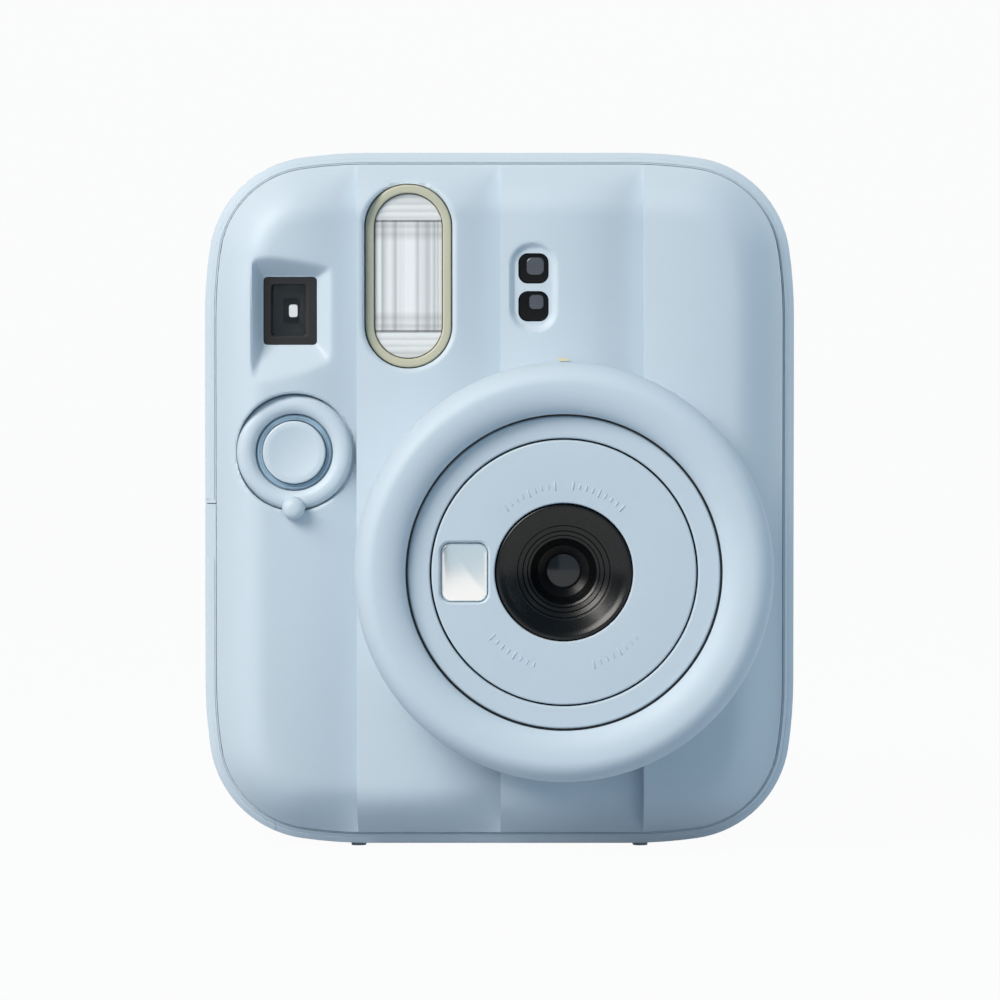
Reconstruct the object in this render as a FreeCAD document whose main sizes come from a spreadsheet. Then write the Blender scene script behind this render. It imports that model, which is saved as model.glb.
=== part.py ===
import FreeCAD, Part

import functools
import math
import os
import re

import Sketcher

# Instant camera, upright, millimetres. The front faces -Y, +X is to the right seen from the front, +Z is up.
# The origin is under the middle of the camera, on the plane that its feet stand on.

NODE_FOLDER = "parts"

# ---------------------------------------------------------------- driving dimensions
DIMENSIONS = {
    # outline of the body, seen from the front
    "body_width": 104.0,
    "body_height": 122.0,
    "foot_height": 0.6,
    "corner_radius": 19.0,
    "shoulder_radius": 85.0,
    "shoulder_angle": 8.2,
    # depth, from the back forwards
    "belt_depth": 41.8,
    "cover_rise": 8.5,
    "ring_height": 16.3,
    # shells
    "shell_wall": 2.0,
    "belt_band": 1.9,
    "back_round": 6.0,
    "seam_gap": 0.15,
    "fit_gap": 0.2,
    "cover_skirt": 4.0,
    "cover_lip": 0.8,
    "cover_wall": 1.8,
    # pleated, pillowed front
    "pillow_width": 17.0,
    "pleat_fade": 19.0,
    "pleat_pitch": 25.1,
    "pleat_drop": 3.4,
    "pleat_offset": 0.2,
    # lens group
    "lens_offset": 11.1,
    "lens_rise": 48.9,
    "ring_outer": 36.1,
    "ring_crest": 32.4,
    "ring_inner": 27.2,
    "ring_wall": 1.8,
    "rib_radius": 0.45,
    "rib_count": 8,
    "rib_step": 6.3,
    "plinth_radius": 34.8,
    "barrel_gap": 0.5,
    "barrel_wall": 1.6,
    "disc_recess": 3.9,
    "disc_thick": 1.8,
    "inner_barrel_radius": 22.65,
    "inner_barrel_length": 12.4,
    "outer_barrel_length": 13.9,
    "hood_radius": 11.7,
    "glass_radius": 4.6,
    "shutter_hole": 3.2,
    "mirror_offset": 17.1,
    "mirror_width": 7.9,
    "mirror_height": 10.0,
    "mirror_corner": 1.7,
    # flash
    "flash_offset": -15.9,
    "flash_drop": 21.9,
    "flash_width": 15.0,
    "flash_height": 31.9,
    "flash_frame_wall": 1.5,
    "flash_sink": 2.0,
    "flash_tube_radius": 1.4,
    # viewfinder
    "finder_offset": -36.65,
    "finder_drop": 27.95,
    "finder_width": 9.4,
    "finder_height": 11.9,
    "finder_sink": 4.1,
    "tunnel_wall": 1.2,
    # light sensors
    "sensor_offset": 5.95,
    "sensor_drop": 23.9,
    "sensor_pitch": 6.6,
    "sensor_size": 5.2,
    "sensor_corner": 1.6,
    # shutter button and self-timer lever
    "button_offset": -35.9,
    "button_rise": 69.3,
    "button_radius": 5.5,
    "button_travel": 1.2,
    "lever_radius": 10.1,
    "lever_bore": 6.75,
    "lever_sink": 3.8,
    "knob_radius": 2.0,
    # film, rollers and drive
    "film_depth": 18.3,
    "pack_width": 60.0,
    "pack_thick": 13.6,
    "pack_rise": 6.8,
    "image_width": 46.0,
    "image_height": 62.0,
    "roller_drop": 14.6,
    "roller_radius": 4.0,
    "axle_radius": 1.5,
    "running_gap": 0.05,
    "gear_module": 0.6,
    "roller_teeth": 14,
    "idler_teeth": 36,
    "pinion_teeth": 12,
    "gear_width": 2.6,
    "motor_radius": 6.0,
    "motor_length": 20.0,
    "slot_width": 5.0,
    "chassis_wall": 2.0,
    # film door at the back
    "door_left": -25.5,
    "door_right": 44.5,
    "door_rise": 8.0,
    "door_drop": 8.6,
    "door_thick": 2.4,
    "latch_travel": 3.0,
    "latch_width": 11.4,
    "door_corner": 6.0,
    "hinge_radius": 1.9,
    "hinge_pin_radius": 0.8,
    # batteries and their door
    "cell_radius": 7.25,
    "cell_length": 50.5,
    "cell_inset": 14.5,
    "cell_rise": 8.6,
    "cell_pitch": 14.8,
    "battery_wall": 1.2,
    "battery_door_rise": 60.1,
    "battery_door_toe": 12.3,
    # frame counter, strap bars and feet
    "dial_radius": 8.4,
    "dial_rise": 71.4,
    "strap_drop": 36.0,
    "strap_bar_radius": 0.9,
    "strap_length": 10.0,
    "foot_width": 2.6,
    "foot_length": 8.0,
    "foot_spread": 25.0,
    "screw_radius": 1.0,
    "post_radius": 2.2,
}

doc = FreeCAD.newDocument("InstantCamera")
sizes = doc.addObject("Spreadsheet::Sheet", "Sizes")
for row, (alias, number) in enumerate(DIMENSIONS.items(), start=1):
    sizes.set(f"A{row}", alias.replace("_", " "))
    sizes.set(f"B{row}", str(number))
    sizes.setAlias(f"B{row}", alias)
doc.recompute()

# ---------------------------------------------------------------- planes and centres used by several pieces
BACK = "((belt_depth + cover_rise + ring_height) / 2)"
SEAM = f"({BACK} - belt_depth)"
FRONT = f"({SEAM} - cover_rise)"
CREST = f"({FRONT} - ring_height)"
DISC = f"({CREST} + disc_recess)"
PLATE = f"({SEAM} - 1)"
MIRROR_X = "(lens_offset - mirror_offset)"
BASE = "foot_height"
TOP = "(foot_height + body_height)"
LENS_X = "lens_offset"
LENS_Z = "(foot_height + lens_rise)"
OUTER_BARREL = "(ring_inner - barrel_gap)"
COVER_INSET = "(shell_wall + seam_gap)"
LENS_FLANGE = f"({FRONT} + cover_wall + fit_gap)"
LENS_FLANGE_BACK = f"({LENS_FLANGE} + 1.5)"
FILM = f"({BACK} - film_depth)"
PACK_FRONT = f"({FILM} - 0.5)"
PACK_BACK = f"({PACK_FRONT} + pack_thick)"
PLATE_BACK = f"({PACK_FRONT} - 2.5)"
PLATE_FRONT = f"({PLATE_BACK} - chassis_wall)"
BOARD_FRONT = f"({SEAM} + 5.3)"
BOARD_BACK = f"({BOARD_FRONT} + 1.6)"
SWITCH_FRONT = f"({BOARD_FRONT} - 1.2)"
SWITCH_CLEAR = f"({SWITCH_FRONT} - button_travel - fit_gap)"
ROLLER_Z = f"({TOP} - roller_drop)"
NIP = "(gear_module * roller_teeth / 2)"
DRIVE_Y = f"({FILM} - {NIP})"
PINCH_Y = f"({FILM} + {NIP})"
IDLER_Z = f"({ROLLER_Z} - gear_module * (roller_teeth + idler_teeth) / 2)"
MOTOR_Z = f"({IDLER_Z} - gear_module * (idler_teeth + pinion_teeth) / 2)"
CHAMBER_LEFT = f"({LENS_X} - pack_width / 2 - fit_gap)"
CHAMBER_RIGHT = f"({LENS_X} + pack_width / 2 + fit_gap)"
WALL_LEFT = f"({CHAMBER_LEFT} - chassis_wall)"
WALL_RIGHT = f"({CHAMBER_RIGHT} + chassis_wall)"
CHAMBER_FLOOR = f"({BASE} + pack_rise - 0.3)"
CHAMBER_REAR = f"({BACK} - door_thick - 0.6)"
PACK_TOP = f"({ROLLER_Z} - roller_radius - 2.4)"
GEAR_RIGHT = f"({WALL_LEFT} - 0.6)"
GEAR_LEFT = f"({GEAR_RIGHT} - gear_width)"
PLATE_X = f"({GEAR_LEFT} - 0.4)"
MOTOR_FACE = f"({PLATE_X} - 1)"
FINDER_Z = f"({TOP} - finder_drop)"
FLASH_Z = f"({TOP} - flash_drop)"
FLASH_FRONT = f"({FRONT} + flash_sink)"
SENSOR_Z = f"({TOP} - sensor_drop)"
BUTTON_Z = f"({BASE} + button_rise)"
LEVER_SEAT = f"({FRONT} + lever_sink)"
LEVER_FLOOR = f"({LEVER_SEAT} + 2)"
HINGE_Y = f"({BACK} - hinge_radius)"
HINGE_Z = f"({BASE} + door_rise)"
DOOR_TOP = f"({TOP} - door_drop)"
DOOR_INNER = f"({BACK} - door_thick)"
BOARD_POSTS = (f"({LENS_X} - 23)", f"({LENS_X} + 27)")
BOARD_POST_Z = f"({LENS_Z} + 40.5)"
CLAW_X = f"({LENS_X} + pack_width / 2 - 3.5)"
CELL_X = "(cell_inset - body_width / 2)"
CELL_Z = f"({BASE} + cell_rise)"
CELL_TOP = f"({CELL_Z} + cell_length)"
CELL_FRONT_Y = f"({SEAM} + 2.6 + cell_radius)"
CELL_BACK_Y = f"({CELL_FRONT_Y} + cell_pitch)"
BOX_RIGHT = f"({CELL_X} + cell_radius + 0.3)"
BOX_FRONT = f"({CELL_FRONT_Y} - cell_radius - 0.2)"
BOX_BACK = f"({CELL_BACK_Y} + cell_radius + 0.2)"
BATTERY_DOOR_TOP = f"({BASE} + battery_door_rise)"
BATTERY_DOOR_TOE = "(-body_width / 2 + battery_door_toe)"
BATTERY_HINGE_X = "(-body_width / 2 + 1.05)"
BATTERY_HINGE_Y = f"({BOX_BACK} - 4.6)"
BATTERY_DOOR_EDGE = f"({BATTERY_HINGE_Y} - 1.25)"
BATTERY_SWING = "(shell_wall * 0.85)"
DIAL_Z = f"({BASE} + dial_rise)"
DIAL_FRONT = f"({BACK} - 3.9)"
STRAP_Z = f"({TOP} - strap_drop)"
STRAP_Y = f"({SEAM} + 17.5)"
# x and z of the four posts that hold the front cover to the chassis
POST_LEFT, POST_RIGHT = f"({WALL_LEFT} - post_radius - 1.6)", f"({WALL_RIGHT} + post_radius + 0.2)"
POSTS = [
    (POST_LEFT, f"({BASE} + 11.4)"), (POST_LEFT, f"({BASE} + 59.4)"),
    (POST_RIGHT, f"({BASE} + 19.4)"), (POST_RIGHT, f"({BASE} + 69.4)"),
]

NODES = {}


# ---------------------------------------------------------------- small helpers around the document
def bound(text):
    """The expression with every dimension's name pointing at the spreadsheet."""
    return re.sub(r"[a-z_]+[a-z]", lambda m: f"Sizes.{m[0]}" if m[0] in DIMENSIONS else m[0], str(text))


@functools.cache
def value(text):
    """The number that an expression has now."""
    return float(sizes.evalExpression(bound(text)))


def bind(thing, **properties):
    """Ties properties to expressions; a double underscore stands for a dot."""
    for name, text in properties.items():
        thing.setExpression(name.replace("__", "."), bound(text))
    return thing


def node(name, thing):
    """Names an object as one of the camera's pieces."""
    thing.Label = name
    NODES[name] = thing
    return thing


def box(x, y, z):
    """A block between pairs of expressions."""
    return bind(
        doc.addObject("Part::Box", "Block"),
        Length=f"{x[1]} - ({x[0]})", Width=f"{y[1]} - ({y[0]})", Height=f"{z[1]} - ({z[0]})",
        Placement__Base__x=x[0], Placement__Base__y=y[0], Placement__Base__z=z[0],
    )


TURNS = {
    "x": FreeCAD.Rotation(FreeCAD.Vector(0, 1, 0), 90),
    "y": FreeCAD.Rotation(FreeCAD.Vector(1, 0, 0), -90),
    "z": FreeCAD.Rotation(),
}


def stand(thing, axis, u, v, low="0"):
    """Turns an object's own Z to an axis and moves it. u and v are its other coordinates, in X, Y, Z order."""
    thing.Placement = FreeCAD.Placement(FreeCAD.Vector(), TURNS[axis])
    places = {"x": (low, u, v), "y": (u, low, v), "z": (u, v, low)}[axis]
    return bind(thing, Placement__Base__x=places[0], Placement__Base__y=places[1],
                Placement__Base__z=places[2])


def rod(axis, u, v, radius, low, high):
    """A cylinder along an axis, from low to high."""
    cylinder = bind(doc.addObject("Part::Cylinder", "Rod"), Radius=radius, Height=f"{high} - ({low})")
    return stand(cylinder, axis, u, v, low)


def ball(x, y, z, radius):
    """A sphere."""
    sphere = bind(doc.addObject("Part::Sphere", "Ball"), Radius=radius)
    return stand(sphere, "z", x, y, z)


def wedge(x, y, z, x_far, z_far):
    """A block whose far face, at the higher Y, is another rectangle than its near face."""
    return bind(
        doc.addObject("Part::Wedge", "Taper"),
        Xmin=x[0], Xmax=x[1], Ymin=y[0], Ymax=y[1], Zmin=z[0], Zmax=z[1],
        X2min=x_far[0], X2max=x_far[1], Z2min=z_far[0], Z2max=z_far[1],
    )


def cut(base, *tools):
    """The base less each tool."""
    for tool in tools:
        result = doc.addObject("Part::Cut", "Less")
        result.Base, result.Tool = base, tool
        base = result
    return base


def fuse(*things):
    """One solid, or one group, from several."""
    result = doc.addObject("Part::MultiFuse", "Joined")
    result.Shapes = list(things)
    return result


def common(*things):
    """What several solids share."""
    result = doc.addObject("Part::MultiCommon", "Shared")
    result.Shapes = list(things)
    return result


def group(*things):
    """Separate solids in one object."""
    result = doc.addObject("Part::Compound", "Group")
    result.Links = list(things)
    return result


def rounded(thing, radius, chosen):
    """Fillets the edges for which chosen(edge) is true."""
    doc.recompute()
    result = doc.addObject("Part::Fillet", "Rounded")
    result.Base = thing
    size = value(radius)
    result.Edges = [(i, size, size) for i, e in enumerate(thing.Shape.Edges, start=1) if chosen(e)]
    return result


def in_plane(axis, level):
    """Chooses the edges that lie in the plane at that level of an axis."""
    number, place = "xyz".index(axis), value(level)
    return lambda e: all(abs(v.Point[number] - place) < 1e-4 for v in e.Vertexes) and abs(
        e.BoundBox.getPoint(0)[number] - place) < 1e-4 and abs(e.BoundBox.getPoint(6)[number] - place) < 1e-4


def draw_loop(sketch, corners):
    """A closed loop. A corner is (u, v), reached by a straight line from the one before it, or
    (u, v, radius, turn), reached by a short arc that turns left or right."""
    points = [FreeCAD.Vector(value(c[0]), value(c[1]), 0) for c in corners]
    first, ends = sketch.GeometryCount, []
    for i, corner in enumerate(corners):
        start, end = points[i - 1], points[i]
        if len(corner) == 2:
            sketch.addGeometry(Part.LineSegment(start, end))
            ends.append((1, 2))
            continue
        radius, chord = value(corner[2]), end - start
        rise = math.sqrt(max(radius**2 - (chord.Length / 2) ** 2, 0.0))
        side = FreeCAD.Vector(-chord.y, chord.x, 0).normalize() * rise
        left = corner[3] == "left"
        centre = (start + end) / 2 + (side if left else -side)
        a, b = ((p - centre) for p in ((start, end) if left else (end, start)))
        circle = Part.Circle(centre, FreeCAD.Vector(0, 0, 1), radius)
        sketch.addGeometry(Part.ArcOfCircle(circle, math.atan2(a.y, a.x), math.atan2(b.y, b.x)))
        ends.append((1, 2) if left else (2, 1))
    for i, corner in enumerate(corners):
        here, after = first + i, first + (i + 1) % len(corners)
        sketch.addConstraint(Sketcher.Constraint("Coincident", here, ends[i][1], after,
                                                 ends[(i + 1) % len(corners)][0]))
        for kind, text, number in (("DistanceX", corner[0], points[i].x),
                                   ("DistanceY", corner[1], points[i].y)):
            made = sketch.addConstraint(Sketcher.Constraint(kind, -1, 1, here, ends[i][1], number))
            sketch.setExpression(f"Constraints[{made}]", bound(text))
        if len(corner) == 4:
            made = sketch.addConstraint(Sketcher.Constraint("Radius", here, value(corner[2])))
            sketch.setExpression(f"Constraints[{made}]", bound(corner[2]))


def slab(axis, corners, low, high):
    """A loop drawn across an axis and extruded along it. Its u and v are the other axes, in X, Y, Z order."""
    sketch = doc.addObject("Sketcher::SketchObject", "Profile")
    draw_loop(sketch, corners)
    turn = {
        "x": FreeCAD.Rotation(FreeCAD.Vector(0, 1, 0), FreeCAD.Vector(0, 0, 1), FreeCAD.Vector(1, 0, 0),
                              "XYZ"),
        "y": FreeCAD.Rotation(FreeCAD.Vector(1, 0, 0), FreeCAD.Vector(0, 0, 1), FreeCAD.Vector(0, -1, 0),
                              "XYZ"),
        "z": FreeCAD.Rotation(),
    }[axis]
    sketch.Placement = FreeCAD.Placement(FreeCAD.Vector(), turn)
    bind(sketch, **{f"Placement__Base__{axis}": low})
    result = doc.addObject("Part::Extrusion", "Slab")
    result.Base, result.DirMode, result.Solid = sketch, "Custom", True
    result.Dir = FreeCAD.Vector(*[float(axis == k) for k in "xyz"])
    return bind(result, LengthFwd=f"{high} - ({low})")


def pill(axis, u, v, radius, low, high):
    """A rounded rectangle between pairs of expressions, extruded along an axis."""
    (u0, u1), (v0, v1) = u, v
    return slab(axis, [
        (f"{u1} - {radius}", v0),
        (u1, f"{v0} + {radius}", radius, "left"), (u1, f"{v1} - {radius}"),
        (f"{u1} - {radius}", v1, radius, "left"), (f"{u0} + {radius}", v1),
        (u0, f"{v1} - {radius}", radius, "left"), (u0, f"{v0} + {radius}"),
        (f"{u0} + {radius}", v0, radius, "left"),
    ], low, high)


def about(centre, size):
    """The two ends of a length about its middle."""
    return f"({centre} - ({size}) / 2)", f"({centre} + ({size}) / 2)"


def turned(axis, u, v, corners):
    """A solid of revolution about an axis: each corner is its radius and its place along the axis."""
    body = doc.addObject("PartDesign::Body", "Turned")
    sketch = body.newObject("Sketcher::SketchObject", "Section")
    plane = next(o for o in body.Origin.OriginFeatures if o.Role == "XZ_Plane")
    sketch.AttachmentSupport, sketch.MapMode = [(plane, "")], "FlatFace"
    draw_loop(sketch, corners)
    feature = body.newObject("PartDesign::Revolution", "Turning")
    feature.Profile, feature.ReferenceAxis, feature.Angle = sketch, (sketch, ["V_Axis"]), 360
    return stand(body, axis, u, v)


def tube(axis, u, v, outer, inner, low, high):
    """A plain ring along an axis."""
    return turned(axis, u, v, [(inner, low), (outer, low), (outer, high), (inner, high)])


def outline(inset, low, high):
    """The body's outline drawn in by inset and extruded along Y. Each corner is a small arc between two
    shoulders of large radius, so the sides run into it gently."""
    wide, narrow = f"(shoulder_radius - {inset})", f"(corner_radius - {inset})"
    reach = (f"(shoulder_radius * sin(shoulder_angle) + corner_radius * (cos(shoulder_angle) - sin(shoulder_angle))"
             f" + shoulder_radius * (1 - cos(shoulder_angle)))")
    far = f"({reach} - shoulder_radius * sin(shoulder_angle) + {inset} * sin(shoulder_angle))"
    near = f"(shoulder_radius * (1 - cos(shoulder_angle)) + {inset} * cos(shoulder_angle))"
    left, right = "(-body_width / 2)", "(body_width / 2)"
    return slab("y", [
        (f"{right} - {reach}", f"{BASE} + {inset}"),
        (f"{right} - {far}", f"{BASE} + {near}", wide, "left"),
        (f"{right} - {near}", f"{BASE} + {far}", narrow, "left"),
        (f"{right} - {inset}", f"{BASE} + {reach}", wide, "left"),
        (f"{right} - {inset}", f"{TOP} - {reach}"),
        (f"{right} - {near}", f"{TOP} - {far}", wide, "left"),
        (f"{right} - {far}", f"{TOP} - {near}", narrow, "left"),
        (f"{right} - {reach}", f"{TOP} - {inset}", wide, "left"),
        (f"{left} + {reach}", f"{TOP} - {inset}"),
        (f"{left} + {far}", f"{TOP} - {near}", wide, "left"),
        (f"{left} + {near}", f"{TOP} - {far}", narrow, "left"),
        (f"{left} + {inset}", f"{TOP} - {reach}", wide, "left"),
        (f"{left} + {inset}", f"{BASE} + {reach}"),
        (f"{left} + {near}", f"{BASE} + {far}", wide, "left"),
        (f"{left} + {far}", f"{BASE} + {near}", narrow, "left"),
        (f"{left} + {reach}", f"{BASE} + {inset}", wide, "left"),
    ], low, high)


# ---------------------------------------------------------------- the front's surface
def rim_distance(x, z):
    """How far a point lies inside the cover's outline, measured square to it."""
    inset, angle = value(COVER_INSET), math.radians(value("shoulder_angle"))
    wide, narrow = value("shoulder_radius"), value("corner_radius")
    side = value("body_width") / 2 - abs(x)
    end = value("body_height") / 2 - abs(z - value(BASE) - value("body_height") / 2)
    reach = wide * math.sin(angle) + narrow * (math.cos(angle) - math.sin(angle)) + wide * (1 - math.cos(angle))
    if end >= reach:
        return side - inset
    if side >= reach:
        return end - inset
    middle = (wide - (wide - narrow) * math.cos(angle), reach - (wide - narrow) * math.sin(angle))
    turn = math.atan2(middle[1] - end, middle[0] - side)
    if turn < angle:
        return wide - math.hypot(wide - side, reach - end) - inset
    if turn > math.pi / 2 - angle:
        return wide - math.hypot(reach - side, wide - end) - inset
    return narrow - math.hypot(middle[0] - side, middle[1] - end) - inset


def swell(way, power):
    """Rises from 0 at the rim to 1 where way is 1, ever more gently, and goes straight on beyond the rim."""
    return power * way if way < 0 else 1 - max(0.0, 1 - way) ** power


def front_level(x, z, crease):
    """Y of the front surface. It rises from the rim as a pillow, and each pleat falls away to the right of its
    crease, the more so the further it is from the rim."""
    inside = rim_distance(x, z)
    pillow = swell(inside / value("pillow_width"), 2.2)
    fade = swell(inside / value("pleat_fade"), 2)
    along_pleat = max(0.0, (x - crease) / value("pleat_pitch"))
    lip = value(SEAM) - value("cover_lip")
    rise = value("cover_rise") - value("cover_lip")
    return lip - rise * pillow + value("pleat_drop") * fade * along_pleat**2.2


def pleated_block(shift_x, shift_y):
    """Everything behind the pleated surface, which is moved by shift_y, with its creases moved by shift_x."""
    columns, rows, depth = 12, 53, 60.0
    pitch, margin = value("pleat_pitch"), 1.0
    low_z, high_z = value(BASE) - margin, value(TOP) + margin
    creases = [value("pleat_offset") + pitch * k for k in (-2, -1, 0, 1)]
    side = value("body_width") / 2 + margin
    ends = [-side, *[crease + shift_x for crease in creases[1:]], side]
    blocks = []
    for crease, left, right in zip(creases, ends, ends[1:]):
        grid = []
        for i in range(columns):
            x = left + (right - left) * i / (columns - 1)
            heights = [low_z + (high_z - low_z) * j / (rows - 1) for j in range(rows)]
            grid.append([FreeCAD.Vector(x, front_level(x, z, crease) + shift_y, z) for z in heights])
        surface = Part.BSplineSurface()
        surface.interpolate(grid)
        blocks.append(surface.toShape().extrude(FreeCAD.Vector(0, depth, 0)))
    feature = doc.addObject("Part::Feature", "PleatedBlock")
    feature.Shape = blocks[0].fuse(blocks[1:])
    return feature


# ---------------------------------------------------------------- shells
def shell_solid():
    """The rear shell's outer form: a chamfered front edge, the belt, and a rounded back."""
    block = outline("0", SEAM, BACK)
    doc.recompute()
    chamfered = doc.addObject("Part::Chamfer", "Belt")
    chamfered.Base = block
    at_front = in_plane("y", SEAM)
    band, depth = value("belt_band"), value("belt_band") * 0.85
    chamfered.Edges = [(i, band, depth) for i, e in enumerate(block.Shape.Edges, start=1) if at_front(e)]
    return rounded(chamfered, "back_round", in_plane("y", BACK))


def shell_hollow():
    """The room inside the rear shell."""
    room = outline("shell_wall", f"{SEAM} - 3", f"{BACK} - shell_wall")
    return rounded(room, "back_round - shell_wall", in_plane("y", f"{BACK} - shell_wall"))


def door_outline(grow, bottom, low, high):
    """The film door's outline: rounded at the top, square at the hinge."""
    left, right, top = f"door_left - {grow}", f"door_right + {grow}", f"{DOOR_TOP} + {grow}"
    corner = f"(door_corner + {grow})"
    return slab("y", [
        (left, bottom), (right, bottom), (right, f"{top} - {corner}"),
        (f"{right} - {corner}", top, corner, "left"),
        (f"{left} + {corner}", top), (left, f"{top} - {corner}", corner, "left"),
    ], low, high)


def hinge_share(first, count, total, inset):
    """The ends along X of one of the hinge's knuckles, counted from the left."""
    step = f"((door_right - door_left) / {total})"
    return f"(door_left + {step} * {first} + {inset})", f"(door_left + {step} * {first + count} - {inset})"


def strap_recess(side, grow, depth):
    """The pocket in a side wall behind which the strap bar stands."""
    wall = f"{side} * body_width / 2"
    ends = sorted([f"{wall} + {side} * 1", f"{wall} - {side} * {depth}"], key=value)
    return pill("x", about(STRAP_Y, f"5.6 + 2 * {grow}"), about(STRAP_Z, f"strap_length + 2 * {grow}"),
                f"(1.6 + {grow})", *ends)


def battery_door_room(grow):
    """The part of the shell's lower left wall that belongs to the battery door."""
    return box(("-body_width", f"{BATTERY_DOOR_TOE} + {grow}"),
               (f"{SEAM} - 1", f"{BATTERY_DOOR_EDGE} + {grow}"),
               ("-1", f"{BATTERY_DOOR_TOP} + {grow}"))


def battery_knuckle_ends(first, count):
    """The ends along Z of one of the battery door's knuckles, of five, counted from below."""
    low, step = f"({BASE} + 24)", "6.4"
    return f"({low} + {step} * {first} + 0.15)", f"({low} + {step} * {first + count} - 0.15)"


def battery_knuckle(ends, bore, reach):
    """A knuckle of the battery door's hinge: a round eye with a foot that runs along the wall."""
    eye = rod("z", BATTERY_HINGE_X, BATTERY_HINGE_Y, "1.0", *ends)
    foot = box((f"{BATTERY_HINGE_X} - 0.7", f"{BATTERY_HINGE_X} + 0.9"),
               tuple(sorted([BATTERY_HINGE_Y, f"{BATTERY_HINGE_Y} + {reach}"], key=value)), ends)
    return cut(fuse(eye, foot), rod("z", BATTERY_HINGE_X, BATTERY_HINGE_Y, bore, f"{ends[0]} - 1",
                                    f"{ends[1]} + 1"))


def rear_shell():
    solid = shell_solid()
    walls = cut(solid, shell_hollow())
    lugs = []
    for first, count in ((0, 1), (4, 2), (9, 1)):
        ends = hinge_share(first, count, 10, "0.25" if first else "0")
        eye = rod("x", HINGE_Y, HINGE_Z, "hinge_radius", *ends)
        foot = box(ends, (f"{HINGE_Y} - hinge_radius", BACK), (f"{HINGE_Z} - hinge_radius - 2", HINGE_Z))
        lugs.append(fuse(eye, foot))
    cups = [common(strap_recess(side, "1.2", "5.4"), solid) for side in (-1, 1)]
    opening = door_outline("seam_gap", f"{HINGE_Z} - hinge_radius - 0.3", f"{BACK} - 4", f"{BACK} + 1")
    walls = fuse(cut(walls, opening), common(fuse(*lugs), solid), *cups)
    walls = cut(
        walls,
        battery_door_room("seam_gap"),
        box(("-body_width", f"{BATTERY_HINGE_X} + 1.4"), (BATTERY_DOOR_EDGE, f"{BATTERY_HINGE_Y} + 1.3"),
            (battery_knuckle_ends(0, 1)[0], battery_knuckle_ends(4, 1)[1])),
        *[strap_recess(side, "0", "4.2") for side in (-1, 1)],
        rod("x", HINGE_Y, HINGE_Z, "hinge_pin_radius", "door_left + 1", "door_right - 1"),
        pill("z", about(LENS_X, "pack_width - 2"), about(FILM, "slot_width"), "1.5", f"{TOP} - 4",
             f"{TOP} + 1"),
        pill("y", about("finder_offset", "14"), about(FINDER_Z, "16"), "3", f"{BACK} - 4", f"{BACK} + 1"),
        rod("y", "finder_offset", f"{DIAL_Z} + 5.4", "2.6", f"{BACK} - 4", f"{BACK} + 1"),
    )
    eyes = [battery_knuckle(battery_knuckle_ends(k, 1), "0.6", "2.2") for k in (1, 3)]
    pin = rod("y", "finder_offset", DIAL_Z, "0.8", f"{DIAL_FRONT} - 3.4", f"{BACK} - shell_wall / 2")
    node("rear_shell", fuse(walls, pin, *eyes))


def battery_door():
    wall = common(cut(shell_solid(), shell_hollow()), battery_door_room("0"))
    eyes = [battery_knuckle(battery_knuckle_ends(k, 1), "(0.6 + running_gap)", "(-1.8)") for k in (0, 2, 4)]
    swing_room = rod("z", BATTERY_HINGE_X, BATTERY_HINGE_Y, BATTERY_SWING, "-1", f"{BATTERY_DOOR_TOP} + 1")
    node("battery_door", fuse(cut(wall, swing_room), *eyes))
    low, high = battery_knuckle_ends(0, 1)[0], battery_knuckle_ends(4, 1)[1]
    node("battery_door_pin", rod("z", BATTERY_HINGE_X, BATTERY_HINGE_Y, "0.6", low, high))


def film_door():
    bottom = f"{HINGE_Z} + hinge_radius + 0.3"
    plate = door_outline("0", bottom, DOOR_INNER, BACK)
    knuckles = []
    for first, count in ((1, 3), (6, 3)):
        ends = hinge_share(first, count, 10, "0.25")
        eye = rod("x", HINGE_Y, HINGE_Z, "hinge_radius", *ends)
        knuckles.append(fuse(eye, box(ends, (DOOR_INNER, BACK), (HINGE_Z, f"{bottom} + 1"))))
    latch_x, latch_low, latch_high = latch_room()
    door = cut(
        fuse(plate, *knuckles),
        rod("x", HINGE_Y, HINGE_Z, "(hinge_pin_radius + running_gap)", "door_left - 1", "door_right + 1"),
        pill("y", about(latch_x, "latch_width + 2 * fit_gap"), (latch_low, latch_high), "2", f"{BACK} - 4",
             f"{BACK} + 1"),
        pill("y", *film_window_room("fit_gap"), "(1.6 + fit_gap)", f"{BACK} - 4", f"{BACK} + 1"),
    )
    node("film_door", door)
    node("door_hinge_pin", rod("x", HINGE_Y, HINGE_Z, "hinge_pin_radius", "door_left + 1",
                               "door_right - 1"))
    node("film_window", pill("y", *film_window_room("0"), "1.6", f"{BACK} - 1.8", f"{BACK} - 0.3"))


def latch_room():
    """The middle of the latch in X, and the two ends of the hole that it slides in."""
    return "((door_left + door_right) / 2)", f"({DOOR_TOP} - 13.4)", f"({DOOR_TOP} - 3)"


def film_window_room(grow):
    """The window in the door through which a film pack is seen."""
    return about("(door_right - 20)", f"5 + 2 * {grow}"), about(f"({BASE} + 62)", f"24 + 2 * {grow}")


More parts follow.
